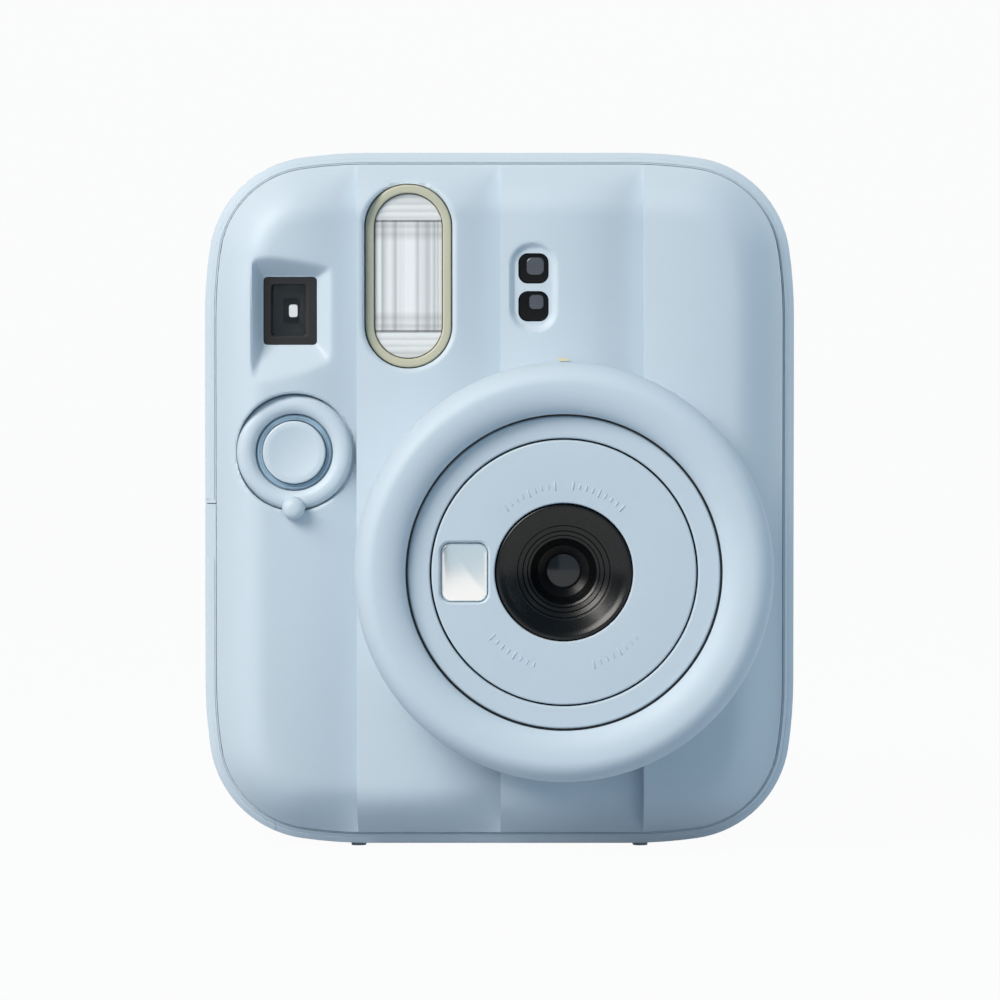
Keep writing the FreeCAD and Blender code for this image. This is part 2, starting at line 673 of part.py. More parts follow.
def door_latch():
    x, low, high = latch_room()
    thumb = pill("y", about(x, "latch_width"), (f"{low} + latch_travel + fit_gap", f"{high} - fit_gap"), "1.8",
                 f"{DOOR_INNER} + 0.2", f"{BACK} - 0.1")
    nose = box(about(x, "6"), (f"{DOOR_INNER} - 1.4", f"{DOOR_INNER} - 0.1"),
               (f"{high} - 3", f"{DOOR_TOP} + 1.6"))
    neck = box(about(x, "6"), (f"{DOOR_INNER} - 0.2", f"{DOOR_INNER} + 0.3"),
               (f"{high} - 3", f"{high} - 1"))
    grooves = [rod("x", f"{BACK} - 0.1", f"{high} - {2.2 + 1.1 * k}", "0.3", f"{x} - 4", f"{x} + 4")
               for k in range(3)]
    node("door_latch", cut(fuse(thumb, neck, nose), *grooves))


def front_cover():
    low = f"{FRONT} - 1"
    rim = outline(COVER_INSET, low, f"{SEAM} + cover_skirt")
    inner = outline(f"({COVER_INSET} + cover_wall)", low, f"{SEAM} + cover_skirt + 1")
    surface = pleated_block(0.0, 0.0)
    wall = cut(common(rim, surface), common(inner, pleated_block(value("cover_wall"), value("cover_wall"))))
    plinth = rod("y", LENS_X, LENS_Z, "plinth_radius", FRONT, SEAM)
    well = rod("y", "button_offset", BUTTON_Z, "(lever_radius + 2)", low, LEVER_FLOOR)
    funnel_front = f"{FRONT} + finder_sink"
    funnel_wall = box(("finder_offset - finder_width / 2 - 3.4", "finder_offset + finder_width / 2 + 6.6"),
                      (low, f"{funnel_front} + 1.6"),
                      (f"{FINDER_Z} - finder_height / 2 - 7.8", f"{FINDER_Z} + finder_height / 2 + 4.8"))
    sensor_boss = pill("y", about("sensor_offset", "sensor_pitch + 3.2"),
                       about(SENSOR_Z, "2 * sensor_pitch + 4.4"),
                       "3", low, f"{FRONT} + 4.4")
    bosses = common(fuse(well, funnel_wall, sensor_boss), surface)
    posts = common(fuse(*[rod("y", *place, "post_radius", FRONT, PLATE_FRONT) for place in POSTS]),
                   pleated_block(0.0, value("cover_wall") / 2))
    # the plinth keeps a wall behind the grip ring, and everything inside it opens to the lens
    cover = cut(
        fuse(wall, plinth, bosses, posts),
        rod("y", LENS_X, LENS_Z, "(plinth_radius - cover_wall)", f"{FRONT} + cover_wall", f"{SEAM} + 6"),
        rod("y", LENS_X, LENS_Z, "(ring_inner + ring_wall)", low, SEAM),
        pill("y", *flash_room("fit_gap"), "(flash_width / 2 - 0.1 + fit_gap)", low, f"{SEAM} + 1"),
        finder_funnel(),
        box(about("finder_offset", "finder_width"), (low, SEAM), about(FINDER_Z, "finder_height")),
        pill("y", about("sensor_offset", "sensor_pitch + 2 * fit_gap"),
             about(SENSOR_Z, "2 * sensor_pitch + 0.7 + 2 * fit_gap"), "(2.2 + fit_gap)", low, f"{FRONT} + 2.6"),
        rod("y", "button_offset", BUTTON_Z, "(lever_radius + 0.35)", low, LEVER_SEAT),
        rod("y", "button_offset", BUTTON_Z, "(button_radius + 0.15)", low, f"{LEVER_FLOOR} + 1"),
        *[rod("y", *place, "screw_radius", f"{PLATE_FRONT} - 9", f"{PLATE_FRONT} + 1") for place in POSTS],
    )
    node("front_cover", cover)


def flash_room(grow):
    """The flash's place in the cover, as pairs along X and Z."""
    return about("flash_offset", f"flash_width + 2 * {grow}"), about(FLASH_Z, f"flash_height + 2 * {grow}")


def finder_funnel():
    """The four-sided funnel that leads to the viewfinder, wider to the right and below."""
    x = about("finder_offset", "finder_width")
    z = about(FINDER_Z, "finder_height")
    wide = "finder_sink + 1.2"
    taper = bind(
        doc.addObject("Part::Wedge", "Funnel"),
        Ymin=f"{FRONT} - 1.2", Ymax=f"{FRONT} + finder_sink", X2min=x[0], X2max=x[1], Z2min=z[0], Z2max=z[1],
        Xmin=f"{x[0]} - ({wide}) * 0.5", Xmax=f"{x[1]} + ({wide}) * 1.25",
        Zmin=f"{z[0]} - ({wide}) * 1.45", Zmax=f"{z[1]} + ({wide}) * 0.8",
    )
    return taper


# ---------------------------------------------------------------- lens group
def lens_ring():
    """The grip ring: a rounded crest, hollow from behind, with two fields of ribs on its flank."""
    back, bore = f"{FRONT} - seam_gap", "ring_inner + ring_wall - 0.1"
    flank, channel = "ring_outer - 0.8", "ring_outer - ring_wall - 0.8"
    ring = turned("y", LENS_X, LENS_Z, [
        (bore, back), (bore, f"{CREST} + 4.5"), ("ring_inner", f"{CREST} + 4.5"),
        ("ring_inner", f"{CREST} + 2.7"),
        ("ring_crest", CREST, "6.5", "left"), ("ring_outer", f"{CREST} + 4.8", "4.8", "left"),
        (flank, back), (channel, back), (channel, f"{CREST} + 5"), (f"{bore} + ring_wall", f"{CREST} + 5"),
        (f"{bore} + ring_wall", back),
    ])
    ribs = []
    for side in (0, 180):
        for k in range(int(value("rib_count"))):
            angle = f"({side} + 26.6 + rib_step * {k})"
            place = (f"{LENS_X} + (ring_outer - 0.5) * cos{angle}",
                     f"{LENS_Z} + (ring_outer - 0.5) * sin{angle}")
            ribs.append(rod("y", *place, "rib_radius", f"{CREST} + 5.5", f"{FRONT} - 1.5"))
    node("lens_grip_ring", fuse(ring, *ribs))
    node("index_mark", box(about(LENS_X, "1.6"), (f"{FRONT} - 0.12", FRONT),
                           about(f"({LENS_Z} + ring_outer + 0.5)", "0.45")))


def lens_barrels():
    """The fixed tube, and the two barrels that come out of it one after the other."""
    bore, outside = f"({OUTER_BARREL} + fit_gap)", "(ring_inner + ring_wall - 0.3)"
    flange = f"({outside} + 2)"
    node("lens_base_tube", turned("y", LENS_X, LENS_Z, [
        (bore, f"{CREST} + 4.8"), (outside, f"{CREST} + 4.8"), (outside, LENS_FLANGE),
        (flange, LENS_FLANGE),
        (flange, LENS_FLANGE_BACK), (outside, LENS_FLANGE_BACK), (outside, PLATE), (bore, PLATE),
    ]))
    inside, throat = f"({OUTER_BARREL} - barrel_wall)", "(inner_barrel_radius + barrel_gap)"
    node("outer_barrel", turned("y", LENS_X, LENS_Z, [
        (throat, DISC), (OUTER_BARREL, DISC), (OUTER_BARREL, f"{DISC} + outer_barrel_length"),
        (inside, f"{DISC} + outer_barrel_length"), (inside, f"{DISC} + disc_thick"),
        (throat, f"{DISC} + disc_thick"),
    ]))
    hollow = "(inner_barrel_radius - barrel_wall)"
    barrel = turned("y", LENS_X, LENS_Z, [
        ("hood_radius + 0.2", DISC), ("inner_barrel_radius", DISC),
        ("inner_barrel_radius", f"{DISC} + inner_barrel_length"), (hollow, f"{DISC} + inner_barrel_length"),
        (hollow, f"{DISC} + disc_thick"), ("hood_radius + 0.2", f"{DISC} + disc_thick"),
    ])
    recess = pill("y", about(MIRROR_X, "mirror_width + fit_gap"), about(LENS_Z, "mirror_height + fit_gap"),
                  "mirror_corner", f"{DISC} - 1", f"{DISC} + 0.9")
    node("inner_barrel", cut(barrel, recess))
    node("selfie_mirror", pill("y", about(MIRROR_X, "mirror_width"), about(LENS_Z, "mirror_height"),
                               "(mirror_corner - fit_gap / 2)", f"{DISC} + 0.15", f"{DISC} + 0.9"))
    node("lens_hood_cone", turned("y", LENS_X, LENS_Z, [
        ("hood_radius", f"{DISC} + 0.1"), ("hood_radius + 0.1", f"{DISC} + disc_thick + 1"),
        ("hood_radius - 2.6", f"{DISC} + disc_thick + 2"), ("glass_radius + 1.6", f"{DISC} + 8"),
        ("glass_radius + 1.6", f"{DISC} + 12"), ("glass_radius - 0.6", f"{DISC} + 12"),
        ("glass_radius - 0.6", f"{DISC} + 11"), ("glass_radius + 0.1", f"{DISC} + 11"),
        ("glass_radius + 0.1", f"{DISC} + 7.4"), ("glass_radius - 1.5", f"{DISC} + 7.4"),
        ("glass_radius - 0.9", f"{DISC} + 5.6"), ("hood_radius - 5", f"{DISC} + 4.2"),
        ("hood_radius - 3.7", f"{DISC} + 2.8"), ("hood_radius - 3.4", f"{DISC} + 1.4"),
        ("hood_radius - 1", f"{DISC} + 0.9"),
    ]))
    node("front_lens", turned("y", LENS_X, LENS_Z, [
        ("0", f"{DISC} + 7.5"), ("glass_radius", f"{DISC} + 8.3", "glass_radius * 3", "left"),
        ("glass_radius", f"{DISC} + 9.1"), ("0", f"{DISC} + 9.1"),
    ]))
    node("rear_lens", turned("y", LENS_X, LENS_Z, [
        ("0", f"{DISC} + 9.3"), ("glass_radius", f"{DISC} + 9.3"), ("glass_radius", f"{DISC} + 10.9"),
        ("0", f"{DISC} + 10.1", "glass_radius * 3", "right"),
    ]))


def shutter():
    """The plate behind the barrels, its swinging blade, and the coil that moves it."""
    blade_x, blade_z = f"({LENS_X} + 9)", f"({LENS_Z} + 9)"
    plate = rod("y", LENS_X, LENS_Z, "(ring_inner + ring_wall + 1.6)", PLATE, f"({PLATE} + 1.5)")
    pin = rod("y", blade_x, blade_z, "0.8", f"{PLATE} - 1.6", PLATE)
    node("shutter_plate", fuse(cut(plate, rod("y", LENS_X, LENS_Z, "shutter_hole", f"{PLATE} - 1",
                                              f"{PLATE} + 2")),
                               pin))
    back, front = f"{PLATE} - 0.3", f"{PLATE} - 0.9"
    arm = slab("y", [
        (f"{blade_x} - 1.6", f"{blade_z} + 1.6"), (f"{LENS_X} - 3.2", f"{LENS_Z} - 1.2"),
        (f"{LENS_X} - 1.2", f"{LENS_Z} - 3.2"), (f"{blade_x} + 1.6", f"{blade_z} - 1.6"),
    ], front, back)
    blade = fuse(arm, rod("y", LENS_X, LENS_Z, "(shutter_hole + 1)", front, back),
                 rod("y", blade_x, blade_z, "2.3", front, back))
    node("shutter_blade", cut(blade, rod("y", blade_x, blade_z, "(0.8 + running_gap)", f"{front} - 1",
                                         f"{back} + 1")))
    coil = rod("z", f"({LENS_X} + 19)", f"{PLATE} - 3.1", "2.8", f"{LENS_Z} - 7", f"{LENS_Z} + 5")
    cheeks = [box(about(f"({LENS_X} + 19)", "6.2"), (f"{PLATE} - 6.2", PLATE),
                  (f"{LENS_Z} {a}", f"{LENS_Z} {b}"))
              for a, b in (("- 8", "- 7"), ("+ 5", "+ 6"))]
    node("shutter_solenoid", fuse(coil, *cheeks))


# ---------------------------------------------------------------- front windows
def flash_unit():
    x, z = flash_room("0")
    frame = pill("y", x, z, "(flash_width / 2 - 0.1)", FLASH_FRONT, f"{FLASH_FRONT} + 7")
    room_x, room_z = flash_room("-flash_frame_wall")
    corner = "(flash_width / 2 - flash_frame_wall - 0.5)"
    node("flash_gasket", cut(frame, pill("y", room_x, room_z, corner, f"{FLASH_FRONT} - 1",
                                         f"{FLASH_FRONT} + 8")))
    clear_x, clear_z = flash_room("-(flash_frame_wall + 0.1)")
    node("flash_window", pill("y", clear_x, clear_z, f"({corner} - 0.1)", f"{FLASH_FRONT} + 0.5",
                              f"{FLASH_FRONT} + 1.9"))
    width, height = "(flash_width - 2 * flash_frame_wall - 0.6)", "(flash_height - flash_width + 4)"
    front, back = f"{FLASH_FRONT} + 2.1", f"{FLASH_FRONT} + 10.4"
    trough = cut(
        box(about("flash_offset", width), (front, back), about(FLASH_Z, height)),
        slab("z", [
            (f"flash_offset - {width} / 2 + 0.7", f"{front} - 1"), (f"flash_offset - 2", f"{back} - 1.2"),
            (f"flash_offset + 2", f"{back} - 1.2"), (f"flash_offset + {width} / 2 - 0.7", f"{front} - 1"),
        ], f"{FLASH_Z} - {height} / 2 + 0.8", f"{FLASH_Z} + {height} / 2 - 0.8"),
    )
    node("flash_reflector", trough)
    node("flash_tube", rod("z", "flash_offset", f"{back} - 1.3 - flash_tube_radius", "flash_tube_radius",
                           f"{FLASH_Z} - {height} / 2 + 0.8", f"{FLASH_Z} + {height} / 2 - 0.8"))


def viewfinder():
    """A straight tunnel from the funnel in front to the eyepiece behind, with a lens at each end."""
    front, back = f"{FRONT} + finder_sink + 0.1", f"{BACK} - 3.2"
    x, z = about("finder_offset", "finder_width - 0.2"), about(FINDER_Z, "finder_height - 0.2")
    room_x = about("finder_offset", "finder_width - 2 * tunnel_wall")
    room_z = about(FINDER_Z, "finder_height - 2 * tunnel_wall")
    tunnel = cut(box(x, (front, back), z), box(room_x, (f"{front} - 1", f"{back} + 1"), room_z))
    node("viewfinder_tunnel", tunnel)
    clear_x = about("finder_offset", "finder_width - 2 * tunnel_wall - 0.1")
    clear_z = about(FINDER_Z, "finder_height - 2 * tunnel_wall - 0.1")
    node("viewfinder_front_lens", box(clear_x, (f"{front} + 1.5", f"{front} + 3"), clear_z))
    node("viewfinder_rear_lens", box(clear_x, (f"{back} - 3", f"{back} - 1"), clear_z))
    rim = pill("y", about("finder_offset", "13.7"), about(FINDER_Z, "15.7"), "2.8", f"{BACK} - 3.1",
               f"{BACK} - 0.1")
    sight = pill("y", about("finder_offset", "6.6"), about(FINDER_Z, "6.6"), "1.4", f"{BACK} - 4", BACK)
    node("eyepiece_frame", cut(rim, sight))


def sensors():
    plate_z = about(SENSOR_Z, "2 * sensor_pitch + 0.7")
    plate = pill("y", about("sensor_offset", "sensor_pitch"), plate_z, "2.2", f"{FRONT} + 1",
                 f"{FRONT} + 2.6")
    for name, side in (("upper_sensor_window", "+"), ("lower_sensor_window", "-")):
        z = about(f"({SENSOR_Z} {side} sensor_pitch / 2)", "sensor_size")
        window = pill("y", about("sensor_offset", "sensor_size"), z, "sensor_corner", f"{FRONT} + 0.9",
                      f"{FRONT} + 2")
        plate = cut(plate, pill("y", about("sensor_offset", "sensor_size + 0.1"),
                                about(f"({SENSOR_Z} {side} sensor_pitch / 2)", "sensor_size + 0.1"),
                                "sensor_corner", FRONT, f"{FRONT} + 2"))
        node(name, window)
    node("sensor_plate", plate)


# ---------------------------------------------------------------- shutter button and self-timer lever
def controls():
    at = ("button_offset", BUTTON_Z)
    button_front = f"({LEVER_SEAT} - 2.3)"
    node("shutter_button", turned("y", *at, [
        ("0", f"{button_front} + 0.5"),
        ("button_radius - 0.8", button_front, "((button_radius - 0.8)^2 + 0.25)", "right"),
        ("button_radius", f"{button_front} + 0.8", "0.8", "left"),
        ("button_radius", f"{LEVER_FLOOR} + 0.3"),
        ("button_radius + 0.9", f"{LEVER_FLOOR} + 0.3"), ("button_radius + 0.9", f"{LEVER_FLOOR} + 1.3"),
        ("1.5", f"{LEVER_FLOOR} + 1.3"), ("1.5", SWITCH_CLEAR), ("0", SWITCH_CLEAR),
    ]))
    node("timer_light_ring", tube("y", *at, "(lever_bore - 0.15)", "(button_radius + 0.15)",
                                  f"{LEVER_SEAT} - 1.1", LEVER_SEAT))
    middle = "((lever_radius + lever_bore) / 2)"
    lever = turned("y", *at, [
        ("lever_bore", f"{LEVER_SEAT} - 0.1"), ("lever_bore", f"{LEVER_SEAT} - 1.4"),
        (middle, f"{LEVER_SEAT} - 2.6", "2.2", "left"),
        ("lever_radius", f"{LEVER_SEAT} - 1.4", "2.2", "left"),
        ("lever_radius", f"{LEVER_SEAT} - 0.1"),
    ])
    knob_z, knob_seat = f"({BUTTON_Z} - 9.7)", f"({FRONT} + 0.7)"
    crown = f"({knob_seat} - 0.9)"
    knob = fuse(rod("y", "button_offset", knob_z, "knob_radius", crown, knob_seat),
                common(ball("button_offset", crown, knob_z, "knob_radius"),
                       box(about("button_offset", "8"), (f"{crown} - 3", crown), about(knob_z, "8"))),
                common(rod("y", "button_offset", knob_z, "knob_radius", crown, f"{LEVER_SEAT} - 0.1"),
                       rod("y", *at, "lever_radius", f"{crown} - 1", LEVER_SEAT)))
    hub = rod("y", *at, "(lever_bore - 0.1)", f"{crown} - 3", LEVER_SEAT)
    node("self_timer_lever", fuse(lever, cut(knob, hub)))
    near = f"{LEVER_FLOOR} + 1.3"
    node("button_dome", turned("y", *at, [
        ("3.6", near), ("4.4", near), ("4.4", f"{near} + 0.8"),
        ("2.4", SWITCH_CLEAR), ("1.9", SWITCH_CLEAR),
        ("3.6", f"{near} + 0.6"),
    ]))


# ---------------------------------------------------------------- film chamber and drive
def chassis():
    """The film chamber: a front plate with the image window, two side walls and a floor."""
    top, rear = f"({PACK_TOP} + 0.8)", CHAMBER_REAR
    low_z = f"({CHAMBER_FLOOR} - chassis_wall)"
    parts = [
        box((WALL_LEFT, WALL_RIGHT), (PLATE_FRONT, PLATE_BACK), (low_z, top)),
        box((WALL_LEFT, CHAMBER_LEFT), (f"{PLATE_FRONT} - 2", rear), (low_z, top)),
        box((CHAMBER_RIGHT, WALL_RIGHT), (PLATE_FRONT, rear), (low_z, top)),
        box((WALL_LEFT, WALL_RIGHT), (PLATE_FRONT, rear), (low_z, CHAMBER_FLOOR)),
    ]
    for x, z in POSTS:
        ends = sorted((x, WALL_LEFT if x == POST_LEFT else WALL_RIGHT), key=value)
        parts.append(box(ends, (PLATE_FRONT, PLATE_BACK), about(z, "6")))
        parts.append(rod("y", x, z, "3", PLATE_FRONT, PLATE_BACK))
    for x in BOARD_POSTS:
        parts.append(rod("y", x, BOARD_POST_Z, "1.8", BOARD_BACK, f"{PLATE_FRONT} + 1"))
    parts.append(rod("x", DRIVE_Y, IDLER_Z, "1", f"{PLATE_X} - 0.1", WALL_LEFT))
    bores = [rod("y", *place, "(screw_radius + 0.1)", f"{PLATE_FRONT} - 1", f"{PLATE_BACK} + 1")
             for place in POSTS]
    window = pill("y", about(LENS_X, "image_width"), about(LENS_Z, "image_height"), "1.5",
                  f"{PLATE_FRONT} - 1",
                  f"{PLATE_BACK} + 1")
    hinge_room = box((WALL_LEFT, WALL_RIGHT), (f"{HINGE_Y} - hinge_radius - 1.3", BACK),
                     (BASE, f"{HINGE_Z} + hinge_radius + 0.3"))
    room = outline("(shell_wall + fit_gap)", f"{BOARD_BACK} - 1", BACK)
    node("chassis", common(cut(fuse(*parts), window, hinge_room, *bores), room))
    screws = []
    for x, z in POSTS:
        screws.append(fuse(rod("y", x, z, "(screw_radius - 0.02)", f"{PLATE_FRONT} - 8",
                               f"{PLATE_BACK} + 0.5"),
                           rod("y", x, z, "1.9", PLATE_BACK, f"{PLATE_BACK} + 1.3")))
    node("case_screws", group(*screws))
    seal = cut(
        box((WALL_LEFT, WALL_RIGHT), (rear, f"{rear} + 0.5"), (low_z, top)),
        box((CHAMBER_LEFT, CHAMBER_RIGHT), (f"{rear} - 1", f"{rear} + 1"), (CHAMBER_FLOOR, f"{top} + 1")),
        box((WALL_LEFT, WALL_RIGHT), (f"{rear} - 1", f"{rear} + 1"),
            (low_z, f"{HINGE_Z} + hinge_radius + 0.6")),
    )
    node("light_seal", seal)
    node("film_claw", fuse(
        box(about(CLAW_X, "4"), (f"{PLATE_BACK} + 0.1", f"{PLATE_BACK} + 1.1"),
            (f"{BASE} + 18", f"{BASE} + 46")),
        box(about(CLAW_X, "3"), (f"{PLATE_BACK} + 1", f"{PLATE_BACK} + 2"),
            (f"{BASE} + 18", f"{BASE} + 20"))))


def light_tunnel():
    """The black bellows-shaped tunnel between the shutter plate and the image window."""
    front, back = f"({PLATE} + 1.5)", PLATE_FRONT
    sizes_out = [("16", "16"), ("(image_width + 6)", "(image_height + 6)")]
    sizes_in = [("12.8", "12.8"), ("(image_width + 2)", "(image_height + 2)")]
    solids = []
    for (near, far), ends in ((sizes_out, (front, back)),
                              (sizes_in, (f"{front} - 0.01", f"{back} + 0.01"))):
        nx, nz = about(LENS_X, near[0]), about(LENS_Z, near[1])
        fx, fz = about(LENS_X, far[0]), about(LENS_Z, far[1])
        solids.append(wedge(nx, ends, nz, fx, fz))
    node("light_tunnel", cut(*solids))


def film_pack():
    x, z = about(LENS_X, "pack_width"), (f"({BASE} + pack_rise)", PACK_TOP)
    inner_x = about(LENS_X, "pack_width - 2")
    shell = cut(
        box(x, (PACK_FRONT, PACK_BACK), z),
        box(inner_x, (f"{PACK_FRONT} + 1", f"{PACK_BACK} - 1"), (f"{z[0]} + 1", f"{z[1]} - 1")),
        box(about(LENS_X, "image_width + 1"), (f"{PACK_FRONT} - 1", f"{PACK_FRONT} + 2"),
            about(LENS_Z, "image_height + 1")),
        box(inner_x, (f"{PACK_FRONT} + 0.2", f"{PACK_FRONT} + 1.6"), (f"{z[1]} - 2", f"{z[1]} + 1")),
    )
    node("film_pack", shell)
    node("film_sheets", box(about(LENS_X, "pack_width - 3"), (f"{PACK_FRONT} + 1.2", f"{PACK_FRONT} + 7"),
                            (f"{z[0]} + 2", f"{z[1]} - 3")))
    node("pressure_springs", group(*[
        fuse(box(about(f"({LENS_X} {side} 14)", "8"), (f"{DOOR_INNER} - 0.6", DOOR_INNER),
                 about(LENS_Z, "34")),
             box(about(f"({LENS_X} {side} 14)", "8"), (f"{DOOR_INNER} - 2.4", DOOR_INNER),
                 about(LENS_Z, "12")))
        for side in "+-"
    ]))


def gear(teeth, phase, bore):
    """An involute gear along Z: stub teeth, a little thinner than their spaces."""
    module, count, width = value("gear_module"), int(value(teeth)), value("gear_width")
    pressure, backlash = math.radians(20), 0.12
    pitch_radius = module * count / 2
    base = pitch_radius * math.cos(pressure)
    tip, root = pitch_radius + 0.8 * module, pitch_radius - 1.1 * module
    half = math.pi / 2 / count - backlash / 2 / pitch_radius + math.tan(pressure) - pressure
    start = math.sqrt(max((root / base) ** 2 - 1, 0.0))
    end = math.sqrt((tip / base) ** 2 - 1)
    flank = []
    for k in range(6):
        roll = start + (end - start) * k / 5
        flank.append((base * math.hypot(1, roll), half - roll + math.atan(roll)))
    if root < base:
        flank.insert(0, (root, flank[0][1]))

    def spot(radius, angle):
        return FreeCAD.Vector(radius * math.cos(angle), radius * math.sin(angle), 0)

    edges = []
    for tooth in range(count):
        middle = 2 * math.pi * tooth / count + phase
        rising = [spot(r, middle - a) for r, a in flank]
        falling = [spot(r, middle + a) for r, a in reversed(flank)]
        following = spot(root, middle + 2 * math.pi / count - flank[0][1])
        edges += [Part.LineSegment(p, q).toShape() for p, q in zip(rising, rising[1:])]
        edges.append(Part.Arc(rising[-1], spot(tip, middle), falling[0]).toShape())
        edges += [Part.LineSegment(p, q).toShape() for p, q in zip(falling, falling[1:])]
        edges.append(Part.Arc(falling[-1], spot(root, middle + math.pi / count), following).toShape())
    blank = Part.Face(Part.Wire(edges)).extrude(FreeCAD.Vector(0, 0, width))
    if bore:
        blank = blank.cut(Part.makeCylinder(value(bore), width * 3, FreeCAD.Vector(0, 0, -width)))
    feature = doc.addObject("Part::Feature", "Gear")
    feature.Shape = blank
    return feature


def drive():
    """Motor, pinion, idler and the two geared rollers that squeeze the film out through the slot."""
    motor_left = f"{MOTOR_FACE} - motor_length"
    node("motor", cut(rod("x", DRIVE_Y, MOTOR_Z, "motor_radius", motor_left, MOTOR_FACE),
                      rod("x", DRIVE_Y, MOTOR_Z, "0.85", f"{MOTOR_FACE} - 4", f"{MOTOR_FACE} + 1")))
    # gears are drawn flat, and a tooth along their +X points down once they stand on the X axis: each is turned
    # so that a tooth of one meets a space of the next
    half_idler, half_roller = math.pi / value("idler_teeth"), math.pi / value("roller_teeth")
    drive_phase = half_roller * (int(value("idler_teeth")) % 2)
    pinion = fuse(stand(gear("pinion_teeth", math.pi, None), "x", DRIVE_Y, MOTOR_Z, GEAR_LEFT),
                  rod("x", DRIVE_Y, MOTOR_Z, "0.75", f"{MOTOR_FACE} - 3.5", GEAR_RIGHT))
    node("motor_pinion", pinion)
    node("idler_gear", stand(gear("idler_teeth", half_idler, "(1 + running_gap)"), "x", DRIVE_Y, IDLER_Z,
                             GEAR_LEFT))
    ends = (f"{CHAMBER_LEFT} + 0.3", f"{CHAMBER_RIGHT} - 0.3")
    places = {"drive": (DRIVE_Y, drive_phase), "pinch": (PINCH_Y, half_roller - drive_phase)}
    for name, (y, phase) in places.items():
        wheel = stand(gear("roller_teeth", phase, None), "x", y, ROLLER_Z, GEAR_LEFT)
        node(f"{name}_roller", fuse(rod("x", y, ROLLER_Z, "roller_radius", *ends), wheel,
                                    rod("x", y, ROLLER_Z, "axle_radius", GEAR_LEFT, f"{WALL_RIGHT} + 0.8")))
    # bracket with a bearing plate at each end and a bar in front
    low, high = f"({PACK_TOP} + 0.8)", f"({ROLLER_Z} + 5)"
    front, rear = f"({DRIVE_Y} - 6.4)", f"({PINCH_Y} + 6.4)"
    plates = [box(ends_x, (front, rear), (low, high)) for ends_x in ((WALL_LEFT, CHAMBER_LEFT),
                                                                   (CHAMBER_RIGHT, WALL_RIGHT))]
    bar = box((CHAMBER_LEFT, CHAMBER_RIGHT), (front, f"{front} + 1.6"), (low, f"{high} - 2"))
    bores = [rod("x", y, ROLLER_Z, "(axle_radius + running_gap)", f"{WALL_LEFT} - 1", f"{WALL_RIGHT} + 1")
             for y in (DRIVE_Y, PINCH_Y)]
    node("roller_bracket", cut(fuse(*plates, bar), *bores))
    # plate outside the gears, which carries the motor, on two spacers
    cover = box((MOTOR_FACE, PLATE_X), (front, f"{rear} + 0.6"), (f"{MOTOR_Z} - 6.6", f"{high} - 8"))
    spacers = [rod("x", f"({PINCH_Y} + 0.8)", f"({MOTOR_Z} - 3.6)", "1.4", PLATE_X, WALL_LEFT),
               rod("x", f"({PINCH_Y} + 5)", f"({IDLER_Z} + 6)", "1.4", PLATE_X, WALL_LEFT)]
    holes = [rod("x", DRIVE_Y, MOTOR_Z, "1.4", f"{MOTOR_FACE} - 1", f"{PLATE_X} + 1"),
             rod("x", DRIVE_Y, IDLER_Z, "1.05", f"{MOTOR_FACE} - 1", f"{PLATE_X} + 1")]
    node("motor_plate", cut(fuse(cover, *spacers), *holes))


# ---------------------------------------------------------------- electronics and batteries
def electronics():
    low, high = f"({LENS_Z} + image_height / 2 - 13)", f"({PACK_TOP} + 1)"
    board = fuse(
        box(("button_offset - 6", f"{WALL_RIGHT} - 1"), (BOARD_FRONT, BOARD_BACK),
            (low, f"{FINDER_Z} - 9")),
        box(("finder_offset + finder_width / 2 + 1.5", f"{WALL_RIGHT} - 1"), (BOARD_FRONT, BOARD_BACK),
            (low, high)),
        box(about("button_offset", "5"), (SWITCH_FRONT, BOARD_FRONT), about(BUTTON_Z, "5")),
        box(about(f"({LENS_X} + 2)", "11"), (f"{BOARD_FRONT} - 1.3", BOARD_FRONT),
            about(f"({SENSOR_Z} - 12)", "9")),
        box(about(f"({LENS_X} + 20)", "7"), (f"{BOARD_FRONT} - 1.1", BOARD_FRONT),
            about(f"({SENSOR_Z} - 5)", "7")),
    )
    node("main_board", board)
    node("flash_capacitor", rod("x", f"({BOARD_BACK} + 4.3)", f"({LENS_Z} + 46.5)", "4", f"{LENS_X} - 3",
                                f"{LENS_X} + 23"))


